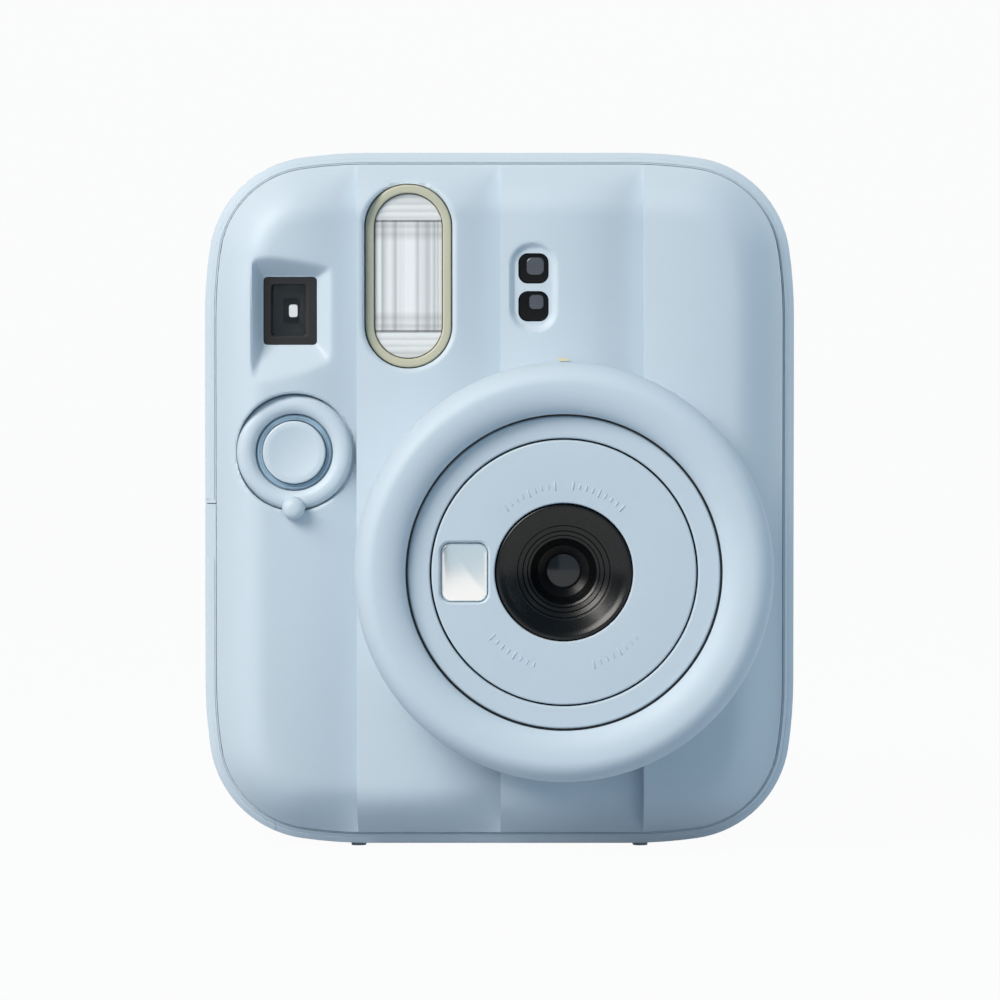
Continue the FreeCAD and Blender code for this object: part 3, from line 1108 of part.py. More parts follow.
def batteries():
    wall = "battery_wall"
    low, high = f"({CELL_Z} - 1.3)", f"({CELL_TOP} + 1.3)"
    outside = common(
        box(("-body_width", f"{BOX_RIGHT} + {wall}"), (f"{BOX_FRONT} - {wall}", f"{BOX_BACK} + {wall}"),
            (f"{low} - {wall}", f"{high} + {wall}")),
        fuse(outline("(shell_wall + fit_gap)", f"{SEAM} + cover_skirt + fit_gap",
                     f"{BACK} - shell_wall - 3"),
             outline(f"({COVER_INSET} + cover_wall + fit_gap)", f"{BOX_FRONT} - 3",
                     f"{SEAM} + cover_skirt + 1")))
    node("battery_box", cut(outside, box(("-2 * body_width", BOX_RIGHT), (BOX_FRONT, BOX_BACK),
                                         (low, high))))
    cells, plates = [], []
    for y, up in ((CELL_FRONT_Y, True), (CELL_BACK_Y, False)):
        can, nub = (CELL_Z, f"({CELL_TOP} - 1.3)"), (f"({CELL_TOP} - 1.3)", CELL_TOP)
        if not up:
            can, nub = (f"({CELL_Z} + 1.3)", CELL_TOP), (CELL_Z, f"({CELL_Z} + 1.3)")
        cells.append(fuse(rod("z", CELL_X, y, "cell_radius", *can),
                          rod("z", CELL_X, y, "2.75", *nub)))
        plates.append(box(about(CELL_X, "8"), about(y, "9"), (f"{high} - 0.5", high)))
    plates.append(box(about(CELL_X, "8"), (f"{CELL_FRONT_Y} - 4", f"{CELL_BACK_Y} + 4"),
                      (low, f"{low} + 0.5")))
    springs = [rod("z", CELL_X, y, "2", *ends)
               for ends in ((CELL_TOP, f"{high} - 0.5"), (f"{low} + 0.5", CELL_Z))
               for y in (CELL_FRONT_Y, CELL_BACK_Y)]
    node("battery_cells", group(*cells))
    node("battery_contacts", group(fuse(plates[0], springs[0]), fuse(plates[1], springs[1]),
                                   fuse(plates[2], springs[2], springs[3])))


# ---------------------------------------------------------------- counter, strap bars, feet
def small_pieces():
    dial = fuse(rod("y", "finder_offset", DIAL_Z, "dial_radius", DIAL_FRONT, f"{DIAL_FRONT} + 1"),
                rod("y", "finder_offset", DIAL_Z, "2", f"{DIAL_FRONT} - 3", DIAL_FRONT))
    node("counter_dial", cut(dial, rod("y", "finder_offset", DIAL_Z, "(0.8 + running_gap)",
                                       f"{DIAL_FRONT} - 4",
                                       f"{DIAL_FRONT} + 2")))
    node("counter_window", rod("y", "finder_offset", f"{DIAL_Z} + 5.4", "2.5", f"{BACK} - 1.6",
                               f"{BACK} - 0.3"))
    node("strap_bars", group(*[
        rod("z", f"({side} * (body_width / 2 - 1.6))", STRAP_Y, "strap_bar_radius",
            f"{STRAP_Z} - strap_length / 2",
            f"{STRAP_Z} + strap_length / 2") for side in (-1, 1)
    ]))
    pads = []
    for x in ("foot_spread", "(-foot_spread)"):
        for y in (f"({SEAM} + 7.5)", f"({BACK} - 10.5)"):
            pads.append(pill("z", about(x, "foot_width"), about(y, "foot_length"), "(foot_width / 2 - 0.1)",
                             "0", BASE))
    node("feet", group(*pads))


rear_shell()
battery_door()
film_door()
door_latch()
front_cover()
lens_ring()
lens_barrels()
shutter()
flash_unit()
viewfinder()
sensors()
controls()
chassis()
light_tunnel()
film_pack()
drive()
electronics()
batteries()
small_pieces()
doc.recompute()

# ---------------------------------------------------------------- check everything, then write the pieces
faults = [f"{thing.Name}: {', '.join(thing.State)}" for thing in doc.Objects
          if {"Invalid", "Error"} & set(thing.State)]
for name, thing in NODES.items():
    if thing.Shape.isNull() or not thing.Shape.isValid() or not thing.Shape.Solids:
        faults.append(f"{name}: no valid solid")
if faults:
    raise RuntimeError("; ".join(faults))
os.makedirs(NODE_FOLDER, exist_ok=True)
for name, thing in NODES.items():
    thing.Shape.exportStep(os.path.join(NODE_FOLDER, f"{name}.step"))
print(f"{len(NODES)} pieces written")
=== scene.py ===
import math

import bmesh
import bpy
import numpy as np
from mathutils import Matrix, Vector


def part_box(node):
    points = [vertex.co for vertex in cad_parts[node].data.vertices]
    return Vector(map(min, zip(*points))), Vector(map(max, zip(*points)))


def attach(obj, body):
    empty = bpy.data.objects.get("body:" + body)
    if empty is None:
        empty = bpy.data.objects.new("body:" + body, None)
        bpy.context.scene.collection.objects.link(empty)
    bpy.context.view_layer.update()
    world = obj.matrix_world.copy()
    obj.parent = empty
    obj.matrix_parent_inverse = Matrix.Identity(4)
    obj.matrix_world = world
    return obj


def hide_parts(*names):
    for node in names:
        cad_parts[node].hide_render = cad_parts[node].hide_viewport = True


# Looks of the instant camera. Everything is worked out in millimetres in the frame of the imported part: the
# front faces -Y, +X is to the right seen from the front, +Z is up. MM brings it to metres for a mesh.

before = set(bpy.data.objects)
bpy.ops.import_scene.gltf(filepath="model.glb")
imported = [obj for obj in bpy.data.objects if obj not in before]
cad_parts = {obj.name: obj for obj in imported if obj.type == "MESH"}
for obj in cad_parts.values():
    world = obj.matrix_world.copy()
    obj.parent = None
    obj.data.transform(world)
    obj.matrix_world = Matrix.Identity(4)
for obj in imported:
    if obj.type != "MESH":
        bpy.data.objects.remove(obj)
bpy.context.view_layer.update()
MM = 0.001


def ends(node):
    """The low and high corners of a CAD piece, in millimetres."""
    low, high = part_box(node)
    return np.array(low) / MM, np.array(high) / MM


# ---------------------------------------------------------------- where things are
cover_high = ends("front_cover")[1]
shell_low, shell_high = ends("rear_shell")
ring_low, ring_high = ends("lens_grip_ring")
inner_low = ends("inner_barrel")[0]
gasket_low, gasket_high = ends("flash_gasket")
pane_low, pane_high = ends("flash_window")
tunnel_low, tunnel_high = ends("viewfinder_tunnel")
light_low, light_high = ends("timer_light_ring")
button_low, button_high = ends("shutter_button")

HALF_WIDTH = shell_high[0]
MIDDLE_Z = (shell_low[2] + shell_high[2]) / 2
HALF_HEIGHT = (shell_high[2] - shell_low[2]) / 2
SEAM = shell_low[1]
FRONT = -17.0
CREST = ring_low[1]
DISC = inner_low[1]
LENS = np.array([(ring_low[0] + ring_high[0]) / 2, (ring_low[2] + ring_high[2]) / 2])
FINDER = np.array([(tunnel_low[0] + tunnel_high[0]) / 2, (tunnel_low[2] + tunnel_high[2]) / 2])
FLASH = np.array([(gasket_low[0] + gasket_high[0]) / 2, (gasket_low[2] + gasket_high[2]) / 2])
KNOB = np.array([(light_low[0] + light_high[0]) / 2, (light_low[2] + light_high[2]) / 2])
SENSORS = [np.array([(low[0] + high[0]) / 2, (low[2] + high[2]) / 2])
           for low, high in (ends("upper_sensor_window"), ends("lower_sensor_window"))]
SENSOR_MIDDLE = (SENSORS[0] + SENSORS[1]) / 2
COVER_INSET = HALF_WIDTH - cover_high[0]
PLEAT_WIDTH = 25.1
CREASES = 0.2 + PLEAT_WIDTH * np.arange(-2, 2)
COVER_WALL = 1.8
LEVER_SEAT = -13.2
LEVER_WELL = 10.3
WELL_SHIFT = 0.14
KNOB_REACH = 9.7
SENSOR_FLOOR = -16.1


# ---------------------------------------------------------------- mesh helpers
def strip_faces(rows, columns, wrap_rows=False, wrap_columns=False, start=0):
    """Quads between the points of a grid counted row by row; either direction may close on itself."""
    i, j = np.meshgrid(np.arange(rows if wrap_rows else rows - 1),
                       np.arange(columns if wrap_columns else columns - 1), indexing="ij")
    up, along = (i + 1) % rows, (j + 1) % columns
    quads = np.stack([i * columns + j, i * columns + along, up * columns + along, up * columns + j], axis=-1)
    return quads.reshape(-1, 4) + start


def tidy(mesh, reach=2e-6):
    """Merges doubled points, so seams and poles close, and turns every face outwards."""
    work = bmesh.new()
    work.from_mesh(mesh)
    bmesh.ops.remove_doubles(work, verts=work.verts, dist=reach)
    bmesh.ops.dissolve_degenerate(work, dist=reach, edges=work.edges)
    bmesh.ops.recalc_face_normals(work, faces=work.faces)
    work.to_mesh(mesh)
    work.free()


def closed_back(thing):
    """Merges doubled points and closes the open loop at the back with one face."""
    work = bmesh.new()
    work.from_mesh(thing.data)
    bmesh.ops.remove_doubles(work, verts=work.verts, dist=2e-6)
    bmesh.ops.dissolve_degenerate(work, dist=2e-6, edges=work.edges)
    bmesh.ops.holes_fill(work, edges=[e for e in work.edges if e.is_boundary], sides=0)
    bmesh.ops.recalc_face_normals(work, faces=work.faces)
    work.to_mesh(thing.data)
    work.free()
    return thing


def solid(name, grids, caps=(), merge=True):
    """An object from grids of points in millimetres, each (points, wrap_rows, wrap_columns), and flat end
    caps, each (grid's number, row's number)."""
    points, faces, starts = [], [], []
    count = 0
    for grid, wrap_rows, wrap_columns in grids:
        rows, columns = grid.shape[:2]
        starts.append(count)
        faces += strip_faces(rows, columns, wrap_rows, wrap_columns, count).tolist()
        points.append(grid.reshape(-1, 3))
        count += rows * columns
    for number, row in caps:
        columns = grids[number][0].shape[1]
        first = starts[number] + (row % grids[number][0].shape[0]) * columns
        faces.append(list(range(first, first + columns)))
    mesh = bpy.data.meshes.new(name)
    mesh.from_pydata((np.concatenate(points) * MM).tolist(), [], faces)
    if merge:
        tidy(mesh)
    thing = bpy.data.objects.new(name, mesh)
    bpy.context.scene.collection.objects.link(thing)
    return thing


def smooth(thing, angle=35.0):
    """Soft shading that breaks at edges sharper than the angle."""
    thing.data.polygons.foreach_set("use_smooth", np.ones(len(thing.data.polygons), dtype=bool))
    thing.data.set_sharp_from_angle(angle=math.radians(angle))
    return thing


def less(thing, *tools):
    """The thing with the tools cut out of it; the tools are used up."""
    for tool in tools:
        cut = thing.modifiers.new("cut", "BOOLEAN")
        cut.operation, cut.solver, cut.object = "DIFFERENCE", "EXACT", tool
    return settled(thing, tools)


def joined(thing, *others):
    """One closed form from several that reach into each other."""
    for other in others:
        join = thing.modifiers.new("join", "BOOLEAN")
        join.operation, join.solver, join.object = "UNION", "EXACT", other
    return settled(thing, others)


def settled(thing, used):
    """The shape that a thing's modifiers give it, made its own mesh."""
    bpy.context.view_layer.update()
    shaped = bpy.data.meshes.new_from_object(thing.evaluated_get(bpy.context.evaluated_depsgraph_get()))
    thing.modifiers.clear()
    old, thing.data = thing.data, shaped
    bpy.data.meshes.remove(old)
    for other in used:
        mesh = other.data
        bpy.data.objects.remove(other)
        bpy.data.meshes.remove(mesh)
    return thing


def together(name, things):
    """Several things as one piece, their meshes side by side."""
    work = bmesh.new()
    for thing in things:
        work.from_mesh(thing.data)
        mesh = thing.data
        bpy.data.objects.remove(thing)
        bpy.data.meshes.remove(mesh)
    mesh = bpy.data.meshes.new(name)
    work.to_mesh(mesh)
    work.free()
    whole = bpy.data.objects.new(name, mesh)
    bpy.context.scene.collection.objects.link(whole)
    return whole


def softened(corners, closed=True, steps=6):
    """A path with its corners (u, v, reach) rounded: each is the curve (1-t)^2 A + 2 t (1-t) P + t^2 B
    between the points A and B that lie at its reach along the two sides."""
    corners = np.array(corners, dtype=float)
    spots, reach = corners[:, :2], corners[:, 2]
    before, after = np.roll(spots, 1, axis=0) - spots, np.roll(spots, -1, axis=0) - spots
    long_before, long_after = np.linalg.norm(before, axis=1), np.linalg.norm(after, axis=1)
    near = np.minimum(reach, np.minimum(long_before, long_after) * 0.49)[:, None]
    a, b = spots + before / long_before[:, None] * near, spots + after / long_after[:, None] * near
    t = np.linspace(0, 1, steps)[None, :, None]
    curves = (1 - t) ** 2 * a[:, None] + 2 * t * (1 - t) * spots[:, None] + t**2 * b[:, None]
    if not closed:
        curves[0], curves[-1] = spots[0], spots[-1]
    return curves.reshape(-1, 2)


def turned(name, path, centre, steps=192, closed=True):
    """A path of (radius r, depth y) carried round an axis along Y: x = cx + r cos a, z = cz + r sin a."""
    angle = np.arange(steps) * 2 * np.pi / steps
    radius, depth = np.asarray(path)[:, 0][:, None], np.asarray(path)[:, 1][:, None]
    x, z = centre[0] + radius * np.cos(angle), centre[1] + radius * np.sin(angle)
    points = np.stack([x, depth + 0 * angle, z], axis=-1)
    return solid(name, [(points, closed, True)])


def rounded_loop(centre, half, radius, steps=12):
    """The outline of a rounded rectangle: four quarter circles about its inner corners."""
    angle = np.concatenate([np.linspace(0, np.pi / 2, steps) + k * np.pi / 2 for k in range(4)])
    side = np.repeat([[1, 1], [-1, 1], [-1, -1], [1, -1]], steps, axis=0)
    spread = np.array(half) - radius
    return np.stack([centre[0] + side[:, 0] * spread[0] + radius * np.cos(angle),
                     centre[1] + side[:, 1] * spread[1] + radius * np.sin(angle)], axis=-1)


def stacked(name, loops):
    """A closed form from loops (points, y) laid one behind the other, flat at both ends."""
    grid = np.stack([np.stack([loop[:, 0], np.full(len(loop), y), loop[:, 1]], axis=-1) for loop, y in loops])
    return solid(name, [(grid, False, True)], caps=((0, 0), (0, -1)))


def post(name, loop, front, back):
    """A straight form with the same loop at both ends."""
    return stacked(name, [(loop, front), (loop, back)])


def plug(name, radius, front, back, centre, steps):
    """A solid cylinder along Y."""
    path = [(0, front), (radius, front), (radius, back), (0, back)]
    return turned(name, path, centre, steps, closed=False)


def edge_distance(x, z, centre, half, radius):
    """How far a point is outside a rounded rectangle, less than nothing within it."""
    dx, dz = abs(x - centre[0]) - (half[0] - radius), abs(z - centre[1]) - (half[1] - radius)
    return np.hypot(np.maximum(dx, 0), np.maximum(dz, 0)) + np.minimum(np.maximum(dx, dz), 0) - radius


def soft_max(a, b, reach):
    """The larger of two numbers, with the change between them rounded over a reach."""
    return (a + b + np.sqrt((a - b) ** 2 + reach**2)) / 2


# ---------------------------------------------------------------- outline of the body
SHOULDER, CORNER, BREAK = 85.0, 19.0, math.radians(8.2)
BREAK_SIN, BREAK_COS = math.sin(BREAK), math.cos(BREAK)
REACH = SHOULDER * BREAK_SIN + CORNER * (BREAK_COS - BREAK_SIN) + SHOULDER * (1 - BREAK_COS)
CORNER_SPOT = np.array([SHOULDER - (SHOULDER - CORNER) * BREAK_COS, REACH - (SHOULDER - CORNER) * BREAK_SIN])


def outline_height(x, inset):
    """Half the outline's height at x: from the flat top it runs down an arc of the shoulder radius, one of
    the corner radius and one of the shoulder radius again, each smaller by the inset."""
    side = np.maximum(HALF_WIDTH - abs(x), inset)
    wide, narrow = SHOULDER - inset, CORNER - inset
    top = SHOULDER - np.sqrt(np.maximum(wide**2 - (REACH - side) ** 2, 0))
    corner = CORNER_SPOT[1] - np.sqrt(np.maximum(narrow**2 - (CORNER_SPOT[0] - side) ** 2, 0))
    flank = REACH - np.sqrt(np.maximum(wide**2 - (SHOULDER - side) ** 2, 0))
    drop = np.where(side >= REACH, inset, np.where(
        side >= REACH - wide * BREAK_SIN, top, np.where(
            side >= SHOULDER - wide * BREAK_COS, corner, flank)))
    return HALF_HEIGHT - drop


def outline_loop(inset, steps=14):
    """The outline as a closed loop of (x, z), with the direction that points out of it at every point."""
    late = np.pi / 2 - BREAK
    angles = np.concatenate([np.linspace(0, BREAK, steps // 2), np.linspace(BREAK, late, steps * 2),
                             np.linspace(late, np.pi / 2, steps // 2)])
    region = np.repeat([0, 1, 2], [steps // 2, steps * 2, steps // 2])
    hub_side = np.array([SHOULDER, CORNER_SPOT[0], REACH])[region]
    hub_end = np.array([REACH, CORNER_SPOT[1], SHOULDER])[region]
    radius = np.array([SHOULDER, CORNER, SHOULDER])[region] - inset
    x = HALF_WIDTH - hub_side + radius * np.cos(angles)
    z = HALF_HEIGHT - hub_end + radius * np.sin(angles)
    out = np.stack([np.cos(angles), np.sin(angles)], axis=-1)
    quarter = np.stack([x, z], axis=-1)
    loop = np.concatenate([quarter, (quarter * [-1, 1])[::-1], quarter * [-1, -1], (quarter * [1, -1])[::-1]])
    outward = np.concatenate([out, (out * [-1, 1])[::-1], out * [-1, -1], (out * [1, -1])[::-1]])
    return loop + [0, MIDDLE_Z], outward


def rim_distance(x, z):
    """How far a point is inside the cover's outline, measured square to it."""
    side, end = HALF_WIDTH - abs(x), HALF_HEIGHT - abs(z - MIDDLE_Z)
    turn = np.arctan2(CORNER_SPOT[1] - end, CORNER_SPOT[0] - side)
    corner = CORNER - np.hypot(CORNER_SPOT[0] - side, CORNER_SPOT[1] - end)
    flank = SHOULDER - np.hypot(SHOULDER - side, REACH - end)
    top = SHOULDER - np.hypot(REACH - side, SHOULDER - end)
    within = np.where(turn < BREAK, flank, np.where(turn > np.pi / 2 - BREAK, top, corner))
    within = np.where(end >= REACH, side, np.where(side >= REACH, end, within))
    return within - COVER_INSET


# ---------------------------------------------------------------- front cover
FUNNEL_HALF = np.array([4.7, 5.95])
FUNNEL_SEAT = FRONT + 4.1
FLASH_HALF = np.array([7.7, 16.15])
DISH_HALF = np.array([3.75, 7.35])


def pleated_front(x, z, crease):
    """Y of the front: a pillow 1 - (1 - d/9.5)^2.3 of the distance d from the rim, and on it pleats that each
    fall away as ((x - crease)/width)^2.8 to the right of their crease, fading out close to the rim."""
    inside = np.maximum(rim_distance(x, z), 0)
    pillow = 1 - np.maximum(1 - inside / 9.5, 0) ** 2.3
    fade = 1 - np.maximum(1 - inside / 6.0, 0) ** 2
    across = np.clip((x - crease) / PLEAT_WIDTH, 0, 1.2)
    return -9.3 - 7.7 * pillow + 4.3 * fade * across**2.8


def funnel_level(x, z):
    """Y of the four slopes round the viewfinder: the seat's level less 4.1 times the share of the way from
    the window's edge to the funnel's lip, where the four sides' shares t join as (sum t^5)^(1/5)."""
    dx, dz = x - FINDER[0], z - FINDER[1]
    shares = np.stack([(-dx - FUNNEL_HALF[0]) / 2.3, (dx - FUNNEL_HALF[0]) / 5.6,
                       (dz - FUNNEL_HALF[1]) / 3.6, (-dz - FUNNEL_HALF[1]) / 6.6])
    share = (np.maximum(shares, 0) ** 5).sum(axis=0) ** (1 / 5)
    return FUNNEL_SEAT - 4.1 * share


def lip(distance, radius):
    """How far a rounded lip of that radius falls at a distance from its hole: r - sqrt(r^2 - (r - d)^2)."""
    way = np.clip(radius - distance, 0, radius)
    return radius - np.sqrt(np.maximum(radius**2 - way**2, 0))


def cover_level(x, z, crease):
    """Y of the cover's face: the pleated front, deepened by the funnel, the sensors' dish and the rounded
    lips of the flash's and the lever's holes."""
    y = pleated_front(x, z, crease)
    y = y + lip(edge_distance(x, z, FLASH, FLASH_HALF, 7.6), 0.9)
    y = y + lip(np.hypot(x - KNOB[0] - WELL_SHIFT, z - KNOB[1]) - LEVER_WELL, 0.5)
    around = edge_distance(x, z, SENSOR_MIDDLE, DISH_HALF, 3.5)
    dish = np.clip(0.5 - around / 1.1, 0, 1)
    y = y + (SENSOR_FLOOR - y) * dish * dish * (3 - 2 * dish)
    near_finder = (abs(x - FINDER[0] - 1.5) < 14) & (abs(z - FINDER[1] + 1.5) < 17)
    return np.where(near_finder, soft_max(y, funnel_level(x, z), 0.45), y)


def spaced(low, high, fine_spans, fine, coarse):
    """Places from low to high, close together inside the fine spans and further apart elsewhere."""
    marks = np.linspace(low, high, 4001)
    step = np.full(marks.shape, coarse)
    for a, b in fine_spans:
        step = np.where((marks >= a) & (marks <= b), fine, step)
    travelled = np.concatenate([[0], np.cumsum(np.diff(marks) / step[1:])])
    return np.interp(np.linspace(0, travelled[-1], int(np.ceil(travelled[-1])) + 1), travelled, marks)


def cover_sheet(inset, back, levels, columns_of, rows, shift=0.0):
    """The cover's face as one grid of columns from left to right. Each column runs up the whole outline, so
    the rim is exact. At each crease the column stands twice, once on either pleat, and the step between them
    is the riser. The inner face's risers are shifted to the right by the wall, so that they are as thick as
    the rest."""
    parts = []
    for k, crease in enumerate(CREASES):
        left = -HALF_WIDTH + inset if k == 0 else crease + shift
        right = HALF_WIDTH - inset if k == len(CREASES) - 1 else CREASES[k + 1] + shift
        x = columns_of(left, right, k)[:, None]
        z = MIDDLE_Z + rows[None, :] * outline_height(x, inset)
        x = x + 0 * z
        parts.append(np.stack([x, levels(x, z, crease), z], axis=-1))
    face = np.concatenate(parts)
    behind = face[:, [0, -1]].copy()
    behind[..., 1] = back
    sheet = np.concatenate([behind[:, :1], face, behind[:, 1:]], axis=1)
    first, last = sheet[:1].copy(), sheet[-1:].copy()
    first[..., 1], last[..., 1] = back, back
    return np.concatenate([first, sheet, last])


def closed_cover(name, sheet):
    """The grid of the face and its four sides, closed behind by one flat face."""
    return closed_back(solid(name, [(sheet, False, False)], merge=False))


def crowded_ends(left, right, number, count):
    """Columns of an outer pleat, crowded towards the side of the body as 1 - cos."""
    t = np.linspace(0, 1, count)
    bent = 1 - np.cos(t * np.pi / 2)
    return left + (right - left) * (bent if number == 0 else 1 - bent[::-1])


def fine_columns(left, right, number):
    """Columns of the outer face, closest round the finder, the flash, the lever and the sensors."""
    x = spaced(left, right, [(-46.5, -6.5), (1.0, 11.0)], 0.34, 0.8)
    if number == 0:
        side = left + (x[3] - left) * (1 - np.cos(np.linspace(0, 1, 7) * np.pi / 2))
        x = np.concatenate([side[:-1], x[3:]])
    if number == len(CREASES) - 1:
        side = x[-4] + (right - x[-4]) * np.sin(np.linspace(0, 1, 7) * np.pi / 2)
        x = np.concatenate([x[:-4], side])
    return x


def front_cover():
    rows = spaced(-1, 1, [(-0.09, 0.93)], 0.36 / 61, 0.9 / 61)
    ends_fine = 1 - (1 - 0.985) * (1 - np.sin(np.linspace(0, 1, 6) * np.pi / 2))
    rows = np.concatenate([-ends_fine[::-1], rows[abs(rows) < 0.985], ends_fine])
    skirt = SEAM + 3.5
    cover = closed_cover("cover", cover_sheet(COVER_INSET, skirt, cover_level, fine_columns, rows))
    inner = closed_cover("inside", cover_sheet(
        COVER_INSET + COVER_WALL, skirt + 2, lambda x, z, crease: pleated_front(x, z, crease) + COVER_WALL,
        lambda left, right, k: (crowded_ends(left, right, k, 14) if k in (0, 3)
                                else np.linspace(left, right, 12)),
        np.sin(np.linspace(-1, 1, 41) * np.pi / 2), COVER_WALL))
    # the cover stays thick round the holes, where these posts are taken out of the inner form
    boss = post("boss", rounded_loop(FINDER + [1.6, -1.5], (9.5, 12.2), 1.5), -30, FUNNEL_SEAT + 1.6)
    lever_boss = plug("lever_boss", 12.1, -30, -11.2, KNOB, 64)
    sensor_boss = post("sensor_boss", rounded_loop(SENSOR_MIDDLE, (4.9, 8.8), 3.0), -30, FRONT + 4.4)
    flash_boss = post("flash_boss", rounded_loop(FLASH, FLASH_HALF + 1.37, 8.4, 24), -30, FRONT + 5.3)
    inner = less(inner, boss, lever_boss, sensor_boss, flash_boss)
    cover = less(cover, inner)
    section = softened([(28.5, FRONT, 0.1), (34.8, FRONT, 0.3), (34.8, -12, 0.1), (28.5, -12, 0.1)])
    plinth = turned("plinth", section, LENS, 160)
    cover = joined(cover, plinth)
    through = [
        plug("lens_hole", 29.0, -40, 0, LENS, 160),
        post("flash_hole", rounded_loop(FLASH, FLASH_HALF, 7.6, 24), -30, 0),
        post("finder_hole", rounded_loop(FINDER, FUNNEL_HALF, 0.7, 8), -30, 0),
        plug("lever_hole", LEVER_WELL, -30, LEVER_SEAT, KNOB + [WELL_SHIFT, 0], 128),
        plug("button_hole", 5.75, -30, -2, KNOB, 128),
    ]
    through += [post(f"sensor_hole_{k}", rounded_loop(spot, (2.65, 2.65), 1.65, 12), -30, 0)
                for k, spot in enumerate(SENSORS)]
    cover = less(cover, *through)
    return smooth(cover, 32)


# ---------------------------------------------------------------- lens ring and barrels
def grip_ring():
    """The ring's section, rounded at its crest, turned about the lens axis, with two fields of ribs."""
    back, bore = FRONT - 0.15, 28.9
    crest_out = np.linspace(0, 1, 26)[:, None]
    # from the crest to the flank: a quarter of an ellipse 3.7 wide and 4.8 deep
    shoulder = np.concatenate([32.4 + 3.7 * np.sin(crest_out * np.pi / 2),
                               CREST + 4.8 * (1 - np.cos(crest_out * np.pi / 2))], axis=1)
    # from the bore up to the crest: an ellipse 5.2 wide and 2.9 deep, its edge rolled over
    dish = np.concatenate([32.4 - 5.2 * np.cos(crest_out * np.pi / 2),
                           CREST + 2.9 * (1 - np.sin(crest_out * np.pi / 2))], axis=1)
    inside = softened([(27.2, CREST + 4.5, 0.2), (bore, CREST + 4.5, 0.1), (bore, back, 0.2),
                       (bore + 1.8, back, 0.2), (bore + 1.8, CREST + 5, 0.1), (33.5, CREST + 5.6, 0.3),
                       (33.5, back, 0.2), (35.3, back, 0.4)])
    path = np.concatenate([dish[:-1], shoulder, inside[::-1][:-3]])
    ring = turned("ring", path, LENS, 288)
    ribs = []
    along = np.linspace(0, 1, 9)
    around = np.linspace(0, np.pi, 9)
    for start in (26.6, 206.6):
        for k in range(8):
            turn = math.radians(start + 6.3 * k)
            radial = np.array([math.cos(turn), math.sin(turn)])
            sideways = np.array([-math.sin(turn), math.cos(turn)])
            swell = 0.5 * np.sqrt(np.maximum(1 - (2 * along - 1) ** 8, 0))[:, None]
            root = 36.0 - 0.75 * along[:, None] ** 1.5
            out = (root + swell * np.sin(around)) - 0.15
            x = LENS[0] + out * radial[0] + 1.2 * swell * np.cos(around) * sideways[0]
            z = LENS[1] + out * radial[1] + 1.2 * swell * np.cos(around) * sideways[1]
            y = CREST + 6.2 + 8.6 * along[:, None] + 0 * x
            ribs.append(solid(f"rib_{turn:.3f}", [(np.stack([x, y, z], axis=-1), False, True)]))
    return smooth(together("grip_ring", [ring, *ribs]), 40)


def barrel_faces():
    """The two barrels: thin tubes with a flat front whose edges are rolled over."""
    outer = turned("outer_tube", softened([
        (23.05, DISC, 0.4), (26.85, DISC, 0.5), (26.85, DISC + 13.9, 0.2), (25.1, DISC + 13.9, 0.2),
        (25.1, DISC + 1.8, 0.3), (23.05, DISC + 1.8, 0.1)], steps=8), LENS, 224)
    face = turned("disc", softened([
        (11.9, DISC, 0.35), (22.75, DISC, 0.4), (22.75, DISC + 12.4, 0.2), (21.05, DISC + 12.4, 0.2),
        (21.05, DISC + 1.8, 0.3), (11.9, DISC + 1.8, 0.1)], steps=8), LENS, 224)
    spot = np.array([LENS[0] - 17.1, LENS[1]])
    seat = stacked("mirror_seat", [
        (rounded_loop(spot, (4.75, 5.8), 2.25, 10), DISC - 1),
        (rounded_loop(spot, (4.45, 5.5), 2.0, 10), DISC + 0.02),
        (rounded_loop(spot, (4.12, 5.17), 1.75, 10), DISC + 0.3),
        (rounded_loop(spot, (4.05, 5.1), 1.7, 10), DISC + 0.9)])
    face = less(face, seat)
    shape = [((3.55, 4.6), 1.45, 0.17), ((3.75, 4.8), 1.55, 0.2), ((3.9, 4.95), 1.6, 0.35),
             ((3.95, 5.0), 1.62, 0.85)]
    mirror = stacked("mirror", [(rounded_loop(spot, half, radius, 14), DISC + deep)
                                for half, radius, deep in shape])
    return smooth(outer, 30), smooth(face, 30), smooth(mirror, 30)


def scale_marks():
    """Raised ticks on the disc in four arcs, as on a distance scale: small bars with rounded ends."""
    bars = []
    fields = [(48, 84, 9, 14.9), (96, 132, 9, 14.9), (222, 252, 8, 16.6), (288, 318, 8, 16.6)]
    for start, stop, count, radius in fields:
        for k, turn in enumerate(np.radians(np.linspace(start, stop, count))):
            tall = 1.5 if k % 4 == 0 else 0.9
            radial = np.array([math.cos(turn), math.sin(turn)])
            sideways = np.array([-math.sin(turn), math.cos(turn)])
            loop = rounded_loop((0, 0), (0.14, tall / 2), 0.13, 3)
            placed = LENS + radius * radial + loop[:, :1] * sideways + loop[:, 1:] * radial
            small = LENS + radius * radial + 0.7 * loop[:, :1] * sideways + 0.93 * loop[:, 1:] * radial
            levels = [(small, DISC - 0.11), (placed, DISC - 0.05), (placed, DISC + 0.1)]
            bars.append(stacked(f"tick_{start}_{k}", levels))
    return smooth(together("scale_ticks", bars), 50)


